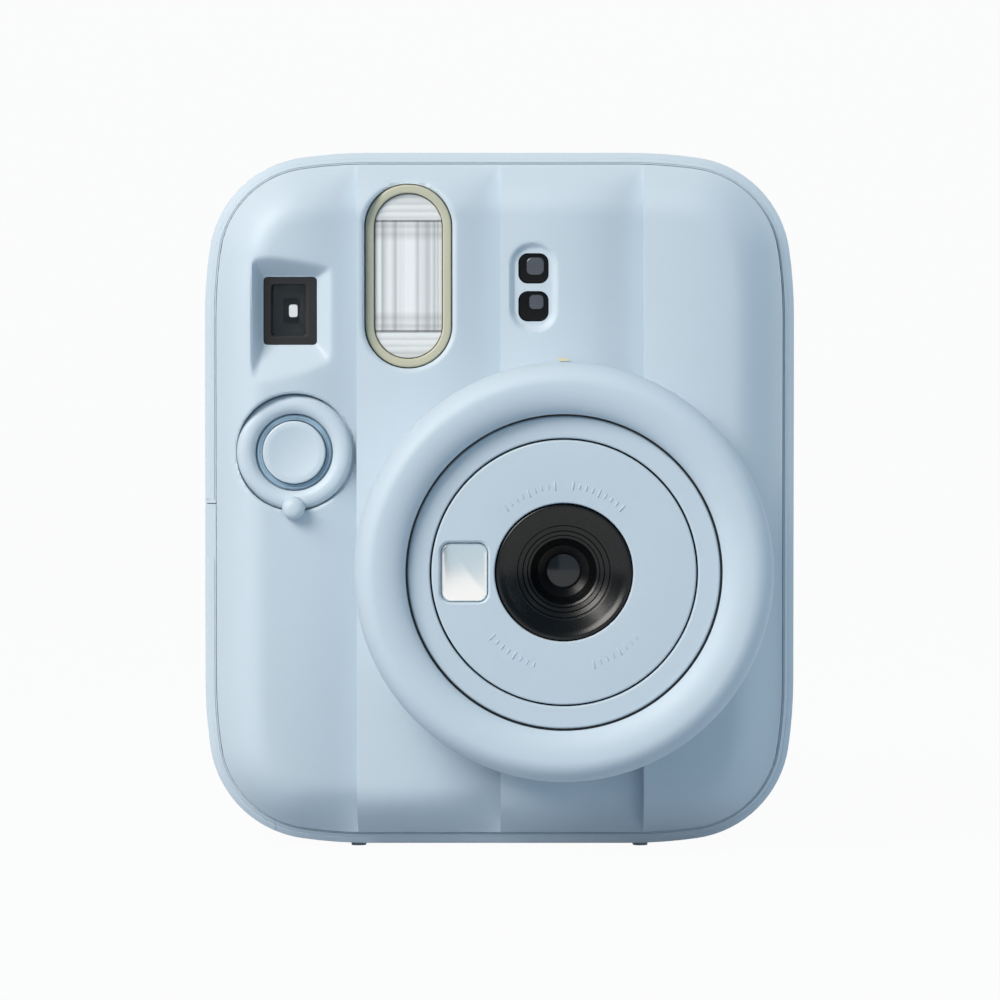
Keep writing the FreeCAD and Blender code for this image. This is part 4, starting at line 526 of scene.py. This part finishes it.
def hood():
    """The black cone in front of the lens: a rolled rim, then steps that get deeper towards the glass."""
    path = softened([
        (11.68, DISC + 0.25, 0.25), (11.2, DISC + 0.12, 0.2), (10.4, DISC + 0.5, 0.5),
        (8.3, DISC + 2.1, 0.25), (8.05, DISC + 2.15, 0.1), (7.95, DISC + 2.9, 0.15),
        (7.1, DISC + 3.2, 0.12), (6.95, DISC + 3.6, 0.1),
        (6.3, DISC + 3.8, 0.12), (6.2, DISC + 4.3, 0.1), (5.7, DISC + 4.5, 0.1), (5.55, DISC + 5.0, 0.1),
        (4.6, DISC + 6.4, 0.3), (3.15, DISC + 7.4, 0.15), (3.1, DISC + 7.55, 0.05), (4.75, DISC + 7.6, 0.05),
        (4.75, DISC + 11, 0.1), (4.0, DISC + 11, 0.1), (4.0, DISC + 12, 0.1), (6.2, DISC + 12, 0.2),
        (6.2, DISC + 8, 0.2), (9.1, DISC + 3.8, 0.2), (11.75, DISC + 2.8, 0.1)], steps=7)
    return smooth(turned("hood", path, LENS, 192), 32)


def front_glass():
    """The front element: a dome (a cap of radius 11 mm) with a ground edge."""
    radius = np.sin(np.linspace(0, np.pi / 2, 24)) * 4.6
    cap = DISC + 7.62 + (11 - np.sqrt(121 - radius**2))
    path = np.concatenate([np.stack([radius, cap], axis=-1), [[4.6, DISC + 9.1], [0, DISC + 9.1]]])
    return smooth(turned("glass", path, LENS, 96, closed=False), 40)


# ---------------------------------------------------------------- flash
def flash_gasket():
    """The khaki frame round the flash: rounded rectangles carried back from a rolled front edge."""
    front = gasket_low[1]
    outer, inner = np.array([7.5, 15.95]), np.array([6.0, 14.45])
    section = softened([(0, 0.0, 0.35), (1, 0.0, 0.3), (1, 7, 0.1), (0, 7, 0.1)], steps=7)
    rings = []
    for share, deep in section:
        half = outer + (inner - outer) * share
        loop = rounded_loop(FLASH, half, 7.4 - 1.5 * share, 20)
        rings.append(np.stack([loop[:, 0], np.full(len(loop), front + deep), loop[:, 1]], axis=-1))
    return smooth(solid("gasket", [(np.stack(rings), True, True)]), 35)


def flash_pane():
    """The clear pane: rows of points across the rounded rectangle, drawn forward by the ribs. Near the ends
    ribs lie across, 1.24 mm apart; between them stand upright flutes of unlike widths."""
    front, back = pane_low[1], pane_high[1]
    half, corner = np.array([5.85, 14.3]), 5.8
    v = np.linspace(-1, 1, 281)[:, None]
    z = half[1] * v
    over = np.maximum(abs(z) - (half[1] - corner), 0)
    reach = half[0] - corner + np.sqrt(np.maximum(corner**2 - over**2, 0))
    u = np.linspace(-1, 1, 121)[None, :]
    x = reach * u
    across = np.clip((abs(z) - 9.7) / 0.25, 0, 1)
    flutes = 0.06 * abs(np.sin(x * 1.6)) + 0.025 * np.cos(x * 4.1) + 0.01 * np.cos(x * 8.3 + 1.1)
    steps = 0.16 * abs(np.sin(z * np.pi / 1.24))
    edge = np.minimum(reach - abs(x), 0.5) * 0.5
    y = front + 0.28 - across * steps - (1 - across) * (0.1 + flutes) * np.clip((5.3 - abs(x)) / 0.3, 0, 1)
    y = np.maximum(y - edge * 0.1, front)
    face = np.stack([FLASH[0] + x, y, FLASH[1] + z + 0 * x], axis=-1)
    rim = np.concatenate([face[0], face[1:-1, -1], face[-1, ::-1], face[-2:0:-1, 0]])
    rim_back = rim.copy()
    rim_back[:, 1] = back
    pane = solid("pane", [(face, False, False), (np.stack([rim, rim_back]), False, True)], merge=False)
    return smooth(closed_back(pane), 25)


# ---------------------------------------------------------------- button, timer lever, sensors, finder
def shutter_button():
    """The button: a shallow dish (0.5 mm deep over 4.7 mm) with a rolled edge, its skirt and its flange."""
    front = button_low[1]
    radius = np.linspace(0, 4.5, 12)
    dish = np.stack([radius, front + 0.5 * (1 - (radius / 4.5) ** 2)], axis=-1)
    edge = softened([(4.6, front, 0.3), (5.5, front, 0.75), (5.5, front + 4.4, 0.1), (6.4, front + 4.4, 0.2),
                     (6.4, front + 5.3, 0.2), (1.5, front + 5.3, 0.1), (1.5, button_high[1], 0.1),
                     (0.01, button_high[1], 0.0)], closed=False, steps=8)
    path = np.concatenate([dish, edge[1:], [[0, button_high[1]]]])
    return smooth(turned("button", path, KNOB, 128, closed=False), 40)


def timer_lever():
    """The lever's ring, a rounded band, and its little knob: a post with a domed end that joins the ring."""
    seat = LEVER_SEAT
    path = softened([(6.75, seat - 0.1, 0.1), (6.75, seat - 1.5, 0.35), (7.5, seat - 2.2, 0.8),
                     (8.45, seat - 2.38, 1.0), (9.5, seat - 2.1, 1.0), (10.1, seat - 1.2, 0.9),
                     (10.1, seat - 0.1, 0.15)], steps=9)
    ring = turned("lever_ring", path, KNOB, 192)
    bend = np.linspace(0, np.pi / 2, 14)
    crown = FRONT - 0.35
    dome = np.stack([1.98 * np.sin(bend) ** 0.8, crown - 1.55 * np.cos(bend)], axis=-1)
    foot = [[1.98, seat - 0.1], [0, seat - 0.1]]
    knob = turned("knob", np.concatenate([dome, foot]), KNOB - [0, KNOB_REACH], 64,
                  closed=False)
    hole = plug("hub", 6.7, -30, 0, KNOB, 128)
    # what lies beyond the ring and behind the cover's face is cut away, so that the knob can turn over it
    outside = turned("outside", [(10.12, FRONT - 0.05), (20, FRONT - 0.05), (20, 0), (10.12, 0)], KNOB, 160)
    return smooth(less(joined(ring, knob), hole, outside), 35)


def timer_light():
    """The clear ring between button and lever, with a fine step on its face."""
    front, back = light_low[1], light_high[1]
    path = softened([
        (5.65, front + 0.15, 0.1), (6.0, front + 0.15, 0.05), (6.05, front, 0.05), (6.4, front, 0.08),
        (6.5, front + 0.25, 0.08), (6.6, front + 0.25, 0.1), (6.6, back, 0.05), (5.65, back, 0.05)])
    return smooth(turned("light", path, KNOB, 160), 30)


def sensor_panes():
    """Each sensor: a black pane with a rolled edge, and in it a small dark lens with a low domed face."""
    panes, lenses = [], []
    for k, spot in enumerate(SENSORS):
        levels = [((2.2, 2.2), 1.3, 0.05), ((2.42, 2.42), 1.45, 0.1), ((2.55, 2.55), 1.55, 0.3),
                  ((2.58, 2.58), 1.58, 1.1)]
        panes.append(smooth(stacked(f"sensor_pane_{k}", [
            (rounded_loop(spot, half, radius, 12), SENSOR_FLOOR + deep)
            for half, radius, deep in levels]), 40))
        middle = spot + ([0.3, 0.4], [0.5, 0.75])[k]
        scale = (1.1, 0.9)[k]
        swell = [((0.3, 0.3), 0.25, 0.0), ((0.75, 0.75), 0.5, 0.012), ((1.1, 1.1), 0.65, 0.03),
                 ((1.35, 1.35), 0.8, 0.06), ((1.4, 1.4), 0.82, 0.2)]
        swell = [((a * scale, b * scale), radius * scale, deep) for (a, b), radius, deep in swell]
        lenses.append(smooth(stacked(f"sensor_lens_{k}", [
            (rounded_loop(middle, half, radius, 10), SENSOR_FLOOR - 0.03 + deep)
            for half, radius, deep in swell]), 60))
    return panes, lenses


def finder_frames():
    """Black frames one behind the other in the viewfinder, each a rounded rectangle with a smaller hole."""
    frames = []
    plans = [((4.66, 5.9), (3.0, 4.5), 0.15, 0.9, (-0.25, 0.1)),
             ((4.3, 5.5), (1.4, 2.2), 3.4, 0.6, (0.1, 0.1)),
             ((3.4, 4.6), (0.75, 1.1), 8.4, 0.6, (0.15, 0.15))]
    for k, (outer, inner, deep, thick, shift) in enumerate(plans):
        rings = []
        for share, back in softened([(0, 0, 0.12), (1, 0, 0.25), (1, thick, 0.2), (0, thick, 0.1)], steps=4):
            half = np.array(outer) + (np.array(inner) - outer) * share
            loop = rounded_loop(FINDER + np.array(shift) * share, half, min(0.65, 0.55 * half[0]), 8)
            depth = np.full(len(loop), FUNNEL_SEAT + deep + back)
            rings.append(np.stack([loop[:, 0], depth, loop[:, 1]], axis=-1))
        frames.append(solid(f"frame_{k}", [(np.stack(rings), True, True)]))
    return smooth(together("finder_frames", frames), 30)


# ---------------------------------------------------------------- belt
def belt_bands(door_cut_x, door_cut_z):
    """Two raised bands on the belt's sloping front edge with a fine groove between, carried round the
    outline: each point of the section (inset i, height h over the slope) goes to the outline drawn in by i,
    moved out and forward by its height. The part on the battery door is a piece of its own."""
    loop, outward = outline_loop(0.0, 24)
    tail, tail_out = np.roll(loop, -1, axis=0), np.roll(outward, -1, axis=0)
    t = np.linspace(0, 1, 6, endpoint=False)[None, :, None]
    points = ((1 - t) * loop[:, None] + t * tail[:, None]).reshape(-1, 2)
    outs = ((1 - t) * outward[:, None] + t * tail_out[:, None]).reshape(-1, 2)
    outs /= np.linalg.norm(outs, axis=1)[:, None]
    on_door = (points[:, 0] < door_cut_x) & (points[:, 1] < door_cut_z)
    made = []
    for name, keep in (("belt_bands", ~on_door), ("battery_door_bands", on_door)):
        first = int(np.flatnonzero(keep & ~np.roll(keep, 1))[0])
        order = np.roll(np.arange(len(points)), -first)
        order = order[keep[order]]
        bands = []
        for start, stop in ((0.12, 1.12), (1.3, 1.86)):
            section = softened([(start, -0.05, 0.02), (start, 0.1, 0.06), (stop, 0.1, 0.06),
                                (stop, -0.05, 0.02)])
            inset, rise = section[:, 0][:, None, None], section[:, 1][:, None, None]
            flat = points[order][None] - outs[order][None] * inset - outs[order][None] * (-rise) * 0.65
            depth = SEAM + 1.615 * (1 - inset / 1.9) - rise * 0.76
            level = np.broadcast_to(depth[..., 0], flat.shape[:2])
            grid = np.stack([flat[..., 0], level, flat[..., 1]], axis=-1)
            grid = np.clip(grid, [-HALF_WIDTH, SEAM, 0], [HALF_WIDTH, 60, 400])
            strip = solid(f"{name}_{start}", [(np.swapaxes(grid, 0, 1), False, True)], caps=((0, 0), (0, -1)))
            bands.append(strip)
        made.append(smooth(together(name, bands), 40))
    return made


# ---------------------------------------------------------------- finishes
def linear(red, green, blue):
    """A colour given in 0..255 display values, as the linear values a shader takes."""
    c = np.array([red, green, blue]) / 255
    flat = np.where(c <= 0.04045, c / 12.92, ((c + 0.055) / 1.055) ** 2.4)
    return (*flat.tolist(), 1.0)


def finish(name, colour, roughness, grain, mottle, wear=0.05, **sockets):
    """A surface finish. grain is the scale (per metre) and height (metres) of its fine texture, mottle the
    scale and strength of the slow change in tone, wear how much the gloss wanders."""
    made = bpy.data.materials.new(name)
    made.use_nodes = True
    tree = made.node_tree
    shader = next(n for n in tree.nodes if n.type == "BSDF_PRINCIPLED")
    for socket, number in sockets.items():
        shader.inputs[socket.replace("_", " ")].default_value = number
    place = tree.nodes.new("ShaderNodeTexCoord").outputs["Object"]

    def noise(scale, detail=4.0):
        made_noise = tree.nodes.new("ShaderNodeTexNoise")
        made_noise.inputs["Scale"].default_value = scale
        made_noise.inputs["Detail"].default_value = detail
        tree.links.new(place, made_noise.inputs["Vector"])
        return made_noise.outputs["Fac"]

    def ranged(source, low, high):
        span = tree.nodes.new("ShaderNodeMapRange")
        span.inputs["From Min"].default_value, span.inputs["From Max"].default_value = 0.3, 0.7
        span.inputs["To Min"].default_value, span.inputs["To Max"].default_value = low, high
        tree.links.new(source, span.inputs["Value"])
        return span.outputs["Result"]

    shade = np.array(linear(*colour))
    tone = tree.nodes.new("ShaderNodeMix")
    tone.data_type = "RGBA"
    tone.inputs[6].default_value = tuple((shade * (1 - mottle[1]))[:3]) + (1,)
    tone.inputs[7].default_value = tuple(np.minimum(shade * (1 + mottle[1]), 1)[:3]) + (1,)
    tree.links.new(ranged(noise(mottle[0]), 0, 1), tone.inputs[0])
    tree.links.new(tone.outputs[2], shader.inputs["Base Color"])
    tree.links.new(ranged(noise(mottle[0] * 7, 6), roughness * (1 - wear), roughness * (1 + wear)),
                   shader.inputs["Roughness"])
    bump = tree.nodes.new("ShaderNodeBump")
    bump.inputs["Distance"].default_value = grain[1]
    bump.inputs["Strength"].default_value = 1.0
    tree.links.new(noise(grain[0], 3), bump.inputs["Height"])
    tree.links.new(bump.outputs["Normal"], shader.inputs["Normal"])
    return made


BLUE = (202, 214, 223)
finishes = {
    "cover_plastic": finish("pale blue satin cover", BLUE, 0.5, (5200, 0.000006), (30, 0.012)),
    "shell_plastic": finish("pale blue satin shell", BLUE, 0.44, (5000, 0.000007), (30, 0.012)),
    "door_plastic": finish("pale blue satin doors", BLUE, 0.44, (5000, 0.000007), (35, 0.012)),
    "ring_plastic": finish("pale blue grip ring", (199, 212, 222), 0.55, (5600, 0.000005), (40, 0.012)),
    "barrel_plastic": finish("pale blue barrels", (196, 209, 219), 0.5, (5200, 0.000005), (40, 0.012)),
    "button_plastic": finish("pale blue controls", BLUE, 0.45, (6000, 0.000004), (60, 0.012)),
    "light_ring_plastic": finish("smoky light ring", (146, 172, 190), 0.25, (4000, 0.000004), (300, 0.12),
                                 Coat_Weight=0.3),
    "black_plastic": finish("black satin moulding", (14, 15, 18), 0.3, (7000, 0.000006), (80, 0.1)),
    "hood_black": finish("black lens hood", (8, 9, 11), 0.27, (7000, 0.000006), (80, 0.1),
                         Specular_IOR_Level=0.38),
    "tunnel_black": finish("matt black shade", (13, 14, 16), 0.6, (6000, 0.00001), (120, 0.15)),
    "flash_gasket_plastic": finish("khaki gasket", (194, 191, 168), 0.5, (5200, 0.000008), (90, 0.03)),
    "clear_plastic": finish("clear moulding", (240, 243, 245), 0.08, (1500, 0.000002), (100, 0.02),
                            Transmission_Weight=1.0, IOR=1.3, Specular_IOR_Level=0.15),
    "dark_glass": finish("dark sensor glass", (6, 7, 9), 0.3, (900, 0.000001), (90, 0.2),
                         Specular_IOR_Level=0.2),
    "lens_glass": finish("coated lens glass", (26, 28, 33), 0.16, (600, 0.0000005), (90, 0.1),
                         Coat_Weight=0.15, Coat_Roughness=0.12, Specular_IOR_Level=0.4),
    "amber_window": finish("amber window", (196, 120, 30), 0.1, (1800, 0.000003), (120, 0.05),
                           Transmission_Weight=0.6, IOR=1.49),
    "mirror_face": finish("polished mirror", (250, 250, 248), 0.16, (900, 0.0000012), (60, 0.015),
                          Metallic=1.0),
    "reflector_metal": finish("bright reflector", (232, 233, 232), 0.16, (2500, 0.000004), (90, 0.03),
                              Metallic=1.0),
    "pin_steel": finish("turned steel pins", (150, 152, 155), 0.3, (5200, 0.000005), (200, 0.06),
                        Metallic=1.0),
    "spring_steel": finish("spring steel", (168, 168, 164), 0.26, (3500, 0.000004), (160, 0.06),
                           Metallic=1.0),
    "screw_steel": finish("zinc screws", (172, 174, 176), 0.34, (6000, 0.000006), (240, 0.08), Metallic=1.0),
    "strap_steel": finish("brushed strap bars", (176, 178, 181), 0.28, (3000, 0.000006), (200, 0.05),
                          Metallic=1.0),
    "foam": finish("black light foam", (26, 27, 28), 0.95, (2600, 0.00008), (300, 0.2)),
    "pack_plastic": finish("film pack plastic", (34, 36, 38), 0.5, (4500, 0.00001), (60, 0.08)),
    "film_white": finish("film sheets", (226, 225, 218), 0.5, (5000, 0.000004), (50, 0.02)),
    "gear_plastic": finish("acetal gears", (222, 219, 208), 0.36, (4500, 0.000006), (150, 0.03)),
    "roller_rubber": finish("dark roller rubber", (40, 41, 43), 0.66, (4200, 0.00002), (200, 0.1)),
    "motor_can": finish("nickelled motor can", (168, 170, 172), 0.27, (5200, 0.000005), (120, 0.05),
                        Metallic=1.0),
    "board_green": finish("green circuit board", (32, 84, 56), 0.38, (2500, 0.00001), (900, 0.14)),
    "capacitor_sleeve": finish("capacitor sleeve", (28, 32, 44), 0.3, (3000, 0.000006), (90, 0.08)),
    "cell_wrap": finish("battery wrap", (52, 56, 62), 0.24, (2500, 0.000004), (70, 0.08)),
    "contact_nickel": finish("nickelled contacts", (186, 184, 176), 0.24, (5200, 0.000004), (160, 0.06),
                             Metallic=1.0),
    "dial_plastic": finish("counter dial", (232, 233, 230), 0.42, (4500, 0.000006), (120, 0.02)),
    "mark_paint": finish("cream index mark", (226, 214, 168), 0.5, (4500, 0.000006), (400, 0.04)),
    "foot_plastic": finish("soft feet", (150, 164, 176), 0.6, (4200, 0.00001), (200, 0.04)),
}


def painted_rib_light(material, bands):
    """Painted light and shade on the clear pane: upright grey bands from a wave across X stand in for the
    light and shade that its ribs give, and give way to a painted near-white towards the pane's ends; a ramp
    along Z paints darker bands, a dark line of painted shade where the upright flutes meet the cross ribs,
    and darkening at the very ends.
    """
    tree = material.node_tree
    shader = next(n for n in tree.nodes if n.type == "BSDF_PRINCIPLED")
    place = tree.nodes.new("ShaderNodeTexCoord").outputs["Object"]
    split = tree.nodes.new("ShaderNodeSeparateXYZ")
    tree.links.new(place, split.inputs[0])
    ramp = tree.nodes.new("ShaderNodeValToRGB")
    while len(ramp.color_ramp.elements) < len(bands):
        ramp.color_ramp.elements.new(0.5)
    low, high = (FLASH[0] - 6) * MM, (FLASH[0] + 6) * MM
    across = tree.nodes.new("ShaderNodeMapRange")
    across.inputs["From Min"].default_value, across.inputs["From Max"].default_value = low, high
    tree.links.new(split.outputs["X"], across.inputs["Value"])
    tree.links.new(across.outputs["Result"], ramp.inputs["Fac"])
    for element, (where, grey) in zip(ramp.color_ramp.elements, sorted(bands)):
        element.position, element.color = where, linear(grey, grey, grey)
    painted_white_ends = tree.nodes.new("ShaderNodeMix")
    painted_white_ends.data_type = "RGBA"
    upright = tree.nodes.new("ShaderNodeMapRange")
    away = tree.nodes.new("ShaderNodeMath")
    away.operation = "SUBTRACT"
    away.inputs[1].default_value = FLASH[1] * MM
    tree.links.new(split.outputs["Z"], away.inputs[0])
    size = tree.nodes.new("ShaderNodeMath")
    size.operation = "ABSOLUTE"
    tree.links.new(away.outputs[0], size.inputs[0])
    tree.links.new(size.outputs[0], upright.inputs["Value"])
    upright.inputs["From Min"].default_value, upright.inputs["From Max"].default_value = 0.0094, 0.0099
    tree.links.new(upright.outputs["Result"], painted_white_ends.inputs[0])
    tree.links.new(ramp.outputs["Color"], painted_white_ends.inputs[6])
    # painted light: from 9.4 to 9.9 mm from the pane's middle outwards, its ends are painted near-white
    painted_white_ends.inputs[7].default_value = linear(246, 247, 246)
    along = tree.nodes.new("ShaderNodeMapRange")
    along.inputs["From Min"].default_value, along.inputs["From Max"].default_value = 0.0, 0.0145
    tree.links.new(size.outputs[0], along.inputs["Value"])
    shade = tree.nodes.new("ShaderNodeValToRGB")
    # painted shade along Z, 0 to 14.5 mm from the middle: darker bands from 7.2 to 9.4 mm, a dark line at 9.5
    # to 9.7 mm where the flutes meet the cross ribs, and darkening from 12.3 mm to the end
    stops = [(0.0, 255), (0.42, 255), (0.5, 228), (0.56, 244), (0.6, 222), (0.645, 240), (0.655, 150),
             (0.67, 150), (0.685, 250), (0.85, 248), (1.0, 215)]
    while len(shade.color_ramp.elements) < len(stops):
        shade.color_ramp.elements.new(0.5)
    for element, (where, grey) in zip(shade.color_ramp.elements, stops):
        element.position, element.color = where, linear(grey, grey, grey)
    tree.links.new(along.outputs["Result"], shade.inputs["Fac"])
    # the painted shade along Z multiplies the painted bands, and the result is the pane's base colour
    painted_shade_over_bands = tree.nodes.new("ShaderNodeMix")
    painted_shade_over_bands.data_type, painted_shade_over_bands.blend_type = "RGBA", "MULTIPLY"
    painted_shade_over_bands.inputs[0].default_value = 1.0
    tree.links.new(painted_white_ends.outputs[2], painted_shade_over_bands.inputs[6])
    tree.links.new(shade.outputs["Color"], painted_shade_over_bands.inputs[7])
    tree.links.new(painted_shade_over_bands.outputs[2], shader.inputs["Base Color"])
    return material


# the flash pane's finish: the listed greys are painted light and shade, the upright bands that its ribs show
flash_pane_with_painted_light = painted_rib_light(
    finish("ribbed flash pane", (232, 234, 234), 0.16, (2600, 0.000004), (200, 0.03),
           Transmission_Weight=0.12, Coat_Weight=0.5, Coat_Roughness=0.08, IOR=1.49),
    [(0.0, 215), (0.03, 246), (0.09, 255), (0.12, 204), (0.16, 232), (0.25, 250), (0.31, 214), (0.35, 240),
     (0.46, 255), (0.57, 255), (0.63, 222), (0.67, 246), (0.78, 216), (0.83, 240),
     (0.88, 206), (0.92, 255), (1.0, 215)])
sensor_grey = finish("sensor lens", (72, 76, 84), 0.3, (1800, 0.000003), (200, 0.1), Coat_Weight=0.15)


# ---------------------------------------------------------------- put together
def dress(thing, material, body, stands_for=()):
    """Gives a new piece its finish and its body, and hides the CAD pieces that it stands for."""
    thing.data.materials.clear()
    thing.data.materials.append(material)
    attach(thing, body)
    if stands_for:
        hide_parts(*stands_for)
    return thing


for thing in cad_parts.values():
    for place, material in enumerate(thing.data.materials):
        thing.data.materials[place] = finishes[material.name.split(".")[0]]

dress(front_cover(), finishes["cover_plastic"], "root", ["front_cover", "sensor_plate"])
dress(grip_ring(), finishes["ring_plastic"], "lens_ring", ["lens_grip_ring"])
outer_tube, disc, mirror = barrel_faces()
dress(outer_tube, finishes["barrel_plastic"], "outer_barrel", ["outer_barrel"])
dress(disc, finishes["barrel_plastic"], "inner_barrel", ["inner_barrel"])
dress(mirror, finishes["mirror_face"], "inner_barrel", ["selfie_mirror"])
dress(scale_marks(), finishes["barrel_plastic"], "inner_barrel", ())
dress(hood(), finishes["hood_black"], "inner_barrel", ["lens_hood_cone"])
dress(front_glass(), finishes["lens_glass"], "inner_barrel", ["front_lens"])
dress(flash_gasket(), finishes["flash_gasket_plastic"], "root", ["flash_gasket"])
dress(flash_pane(), flash_pane_with_painted_light, "root", ["flash_window"])
dress(shutter_button(), finishes["button_plastic"], "shutter_button", ["shutter_button"])
dress(timer_lever(), finishes["button_plastic"], "self_timer_lever", ["self_timer_lever"])
dress(timer_light(), finishes["light_ring_plastic"], "root", ["timer_light_ring"])
panes, lenses = sensor_panes()
for pane, lens, name in zip(panes, lenses, ("upper_sensor_window", "lower_sensor_window")):
    dress(pane, finishes["dark_glass"], "root", [name])
    dress(lens, sensor_grey, "root", ())
dress(finder_frames(), finishes["tunnel_black"], "root", ())
bands, door_bands = belt_bands(-39.7, 60.7)
dress(bands, finishes["shell_plastic"], "root", ())
dress(door_bands, finishes["door_plastic"], "battery_door", ())


# ---------------------------------------------------------------- table, backdrop, light and camera
def backdrop():
    """One sheet that lies flat, curves up behind (a quarter circle of radius 0.5 m) and stands."""
    bend = np.linspace(0, np.pi / 2, 24)
    y = np.concatenate([[-3.0, 0.9], 1.2 + 0.5 * np.sin(bend), [1.7]])
    z = np.concatenate([[0, 0], 0.5 * (1 - np.cos(bend)), [4.0]])
    x = np.linspace(-3.5, 3.5, 8)
    grid = np.stack([x[:, None] + 0 * y, y + 0 * x[:, None], z + 0 * x[:, None]], axis=-1) / MM
    sheet = solid("backdrop", [(grid, False, False)])
    made = bpy.data.materials.new("white paper")
    made.use_nodes = True
    tree = made.node_tree
    tree.nodes.clear()
    out = tree.nodes.new("ShaderNodeOutputMaterial")
    seen, plain, lit = (tree.nodes.new(kind) for kind in ("ShaderNodeEmission", "ShaderNodeBsdfDiffuse",
                                                          "ShaderNodeMixShader"))
    seen.inputs["Color"].default_value = (1, 1, 1, 1)
    seen.inputs["Strength"].default_value = 1.0
    plain.inputs["Color"].default_value = (0.36, 0.44, 0.52, 1)
    ray = tree.nodes.new("ShaderNodeLightPath")
    total = tree.nodes.new("ShaderNodeMath")
    total.operation, total.use_clamp = "ADD", True
    more = tree.nodes.new("ShaderNodeMath")
    more.operation, more.use_clamp = "ADD", True
    tree.links.new(ray.outputs["Is Camera Ray"], total.inputs[0])
    tree.links.new(ray.outputs["Is Glossy Ray"], total.inputs[1])
    tree.links.new(total.outputs[0], more.inputs[0])
    tree.links.new(ray.outputs["Is Transmission Ray"], more.inputs[1])
    share = tree.nodes.new("ShaderNodeMath")
    share.operation = "MULTIPLY"
    share.inputs[1].default_value = 0.96
    tree.links.new(more.outputs[0], share.inputs[0])
    tree.links.new(share.outputs[0], lit.inputs["Fac"])
    tree.links.new(plain.outputs[0], lit.inputs[1])
    tree.links.new(seen.outputs[0], lit.inputs[2])
    tree.links.new(lit.outputs[0], out.inputs["Surface"])
    sheet.data.materials.append(made)


def lamp(name, power, size, place, target, colour):
    light = bpy.data.lights.new(name, "AREA")
    light.color = colour
    light.energy, light.shape, light.size, light.size_y = power, "RECTANGLE", size[0], size[1]
    thing = bpy.data.objects.new(name, light)
    thing.location = place
    thing.rotation_euler = (Vector(target) - Vector(place)).to_track_quat("-Z", "Y").to_euler()
    bpy.context.scene.collection.objects.link(thing)


backdrop()
lamp("key from the upper left", 38, (1.0, 1.0), (-1.05, -1.2, 1.12), (0, 0, 0.06), (1.0, 0.955, 0.9))
lamp("fill from the front", 3, (1.6, 1.2), (0.5, -1.9, 0.6), (0, 0, 0.06), (0.8, 0.92, 1.0))
lamp("fill from the right", 7, (0.6, 1.2), (1.4, 0.0, 0.5), (0, 0, 0.06), (0.8, 0.92, 1.0))
lamp("light from behind", 3, (1.0, 1.0), (0.5, 1.2, 1.5), (0, 0, 0.06), (1.0, 1.0, 1.0))

world = bpy.data.worlds.new("soft room")
bpy.context.scene.world = world
world.use_nodes = True
world.node_tree.nodes["Background"].inputs["Color"].default_value = (0.5, 0.78, 1.0, 1)
world.node_tree.nodes["Background"].inputs["Strength"].default_value = 0.22

eye = bpy.data.objects.new("camera", bpy.data.cameras.new("camera"))
eye.data.lens, eye.data.sensor_width, eye.data.clip_start = 159.3, 36.0, 0.01
eye.location = (0.00097, -0.7885, 0.0817)
sight = Vector((0.0001, -0.0085, 0.0614)) - Vector(eye.location)
eye.rotation_euler = sight.to_track_quat("-Z", "Y").to_euler()
bpy.context.scene.collection.objects.link(eye)
bpy.context.scene.camera = eye
bpy.context.scene.view_settings.view_transform = "Standard"
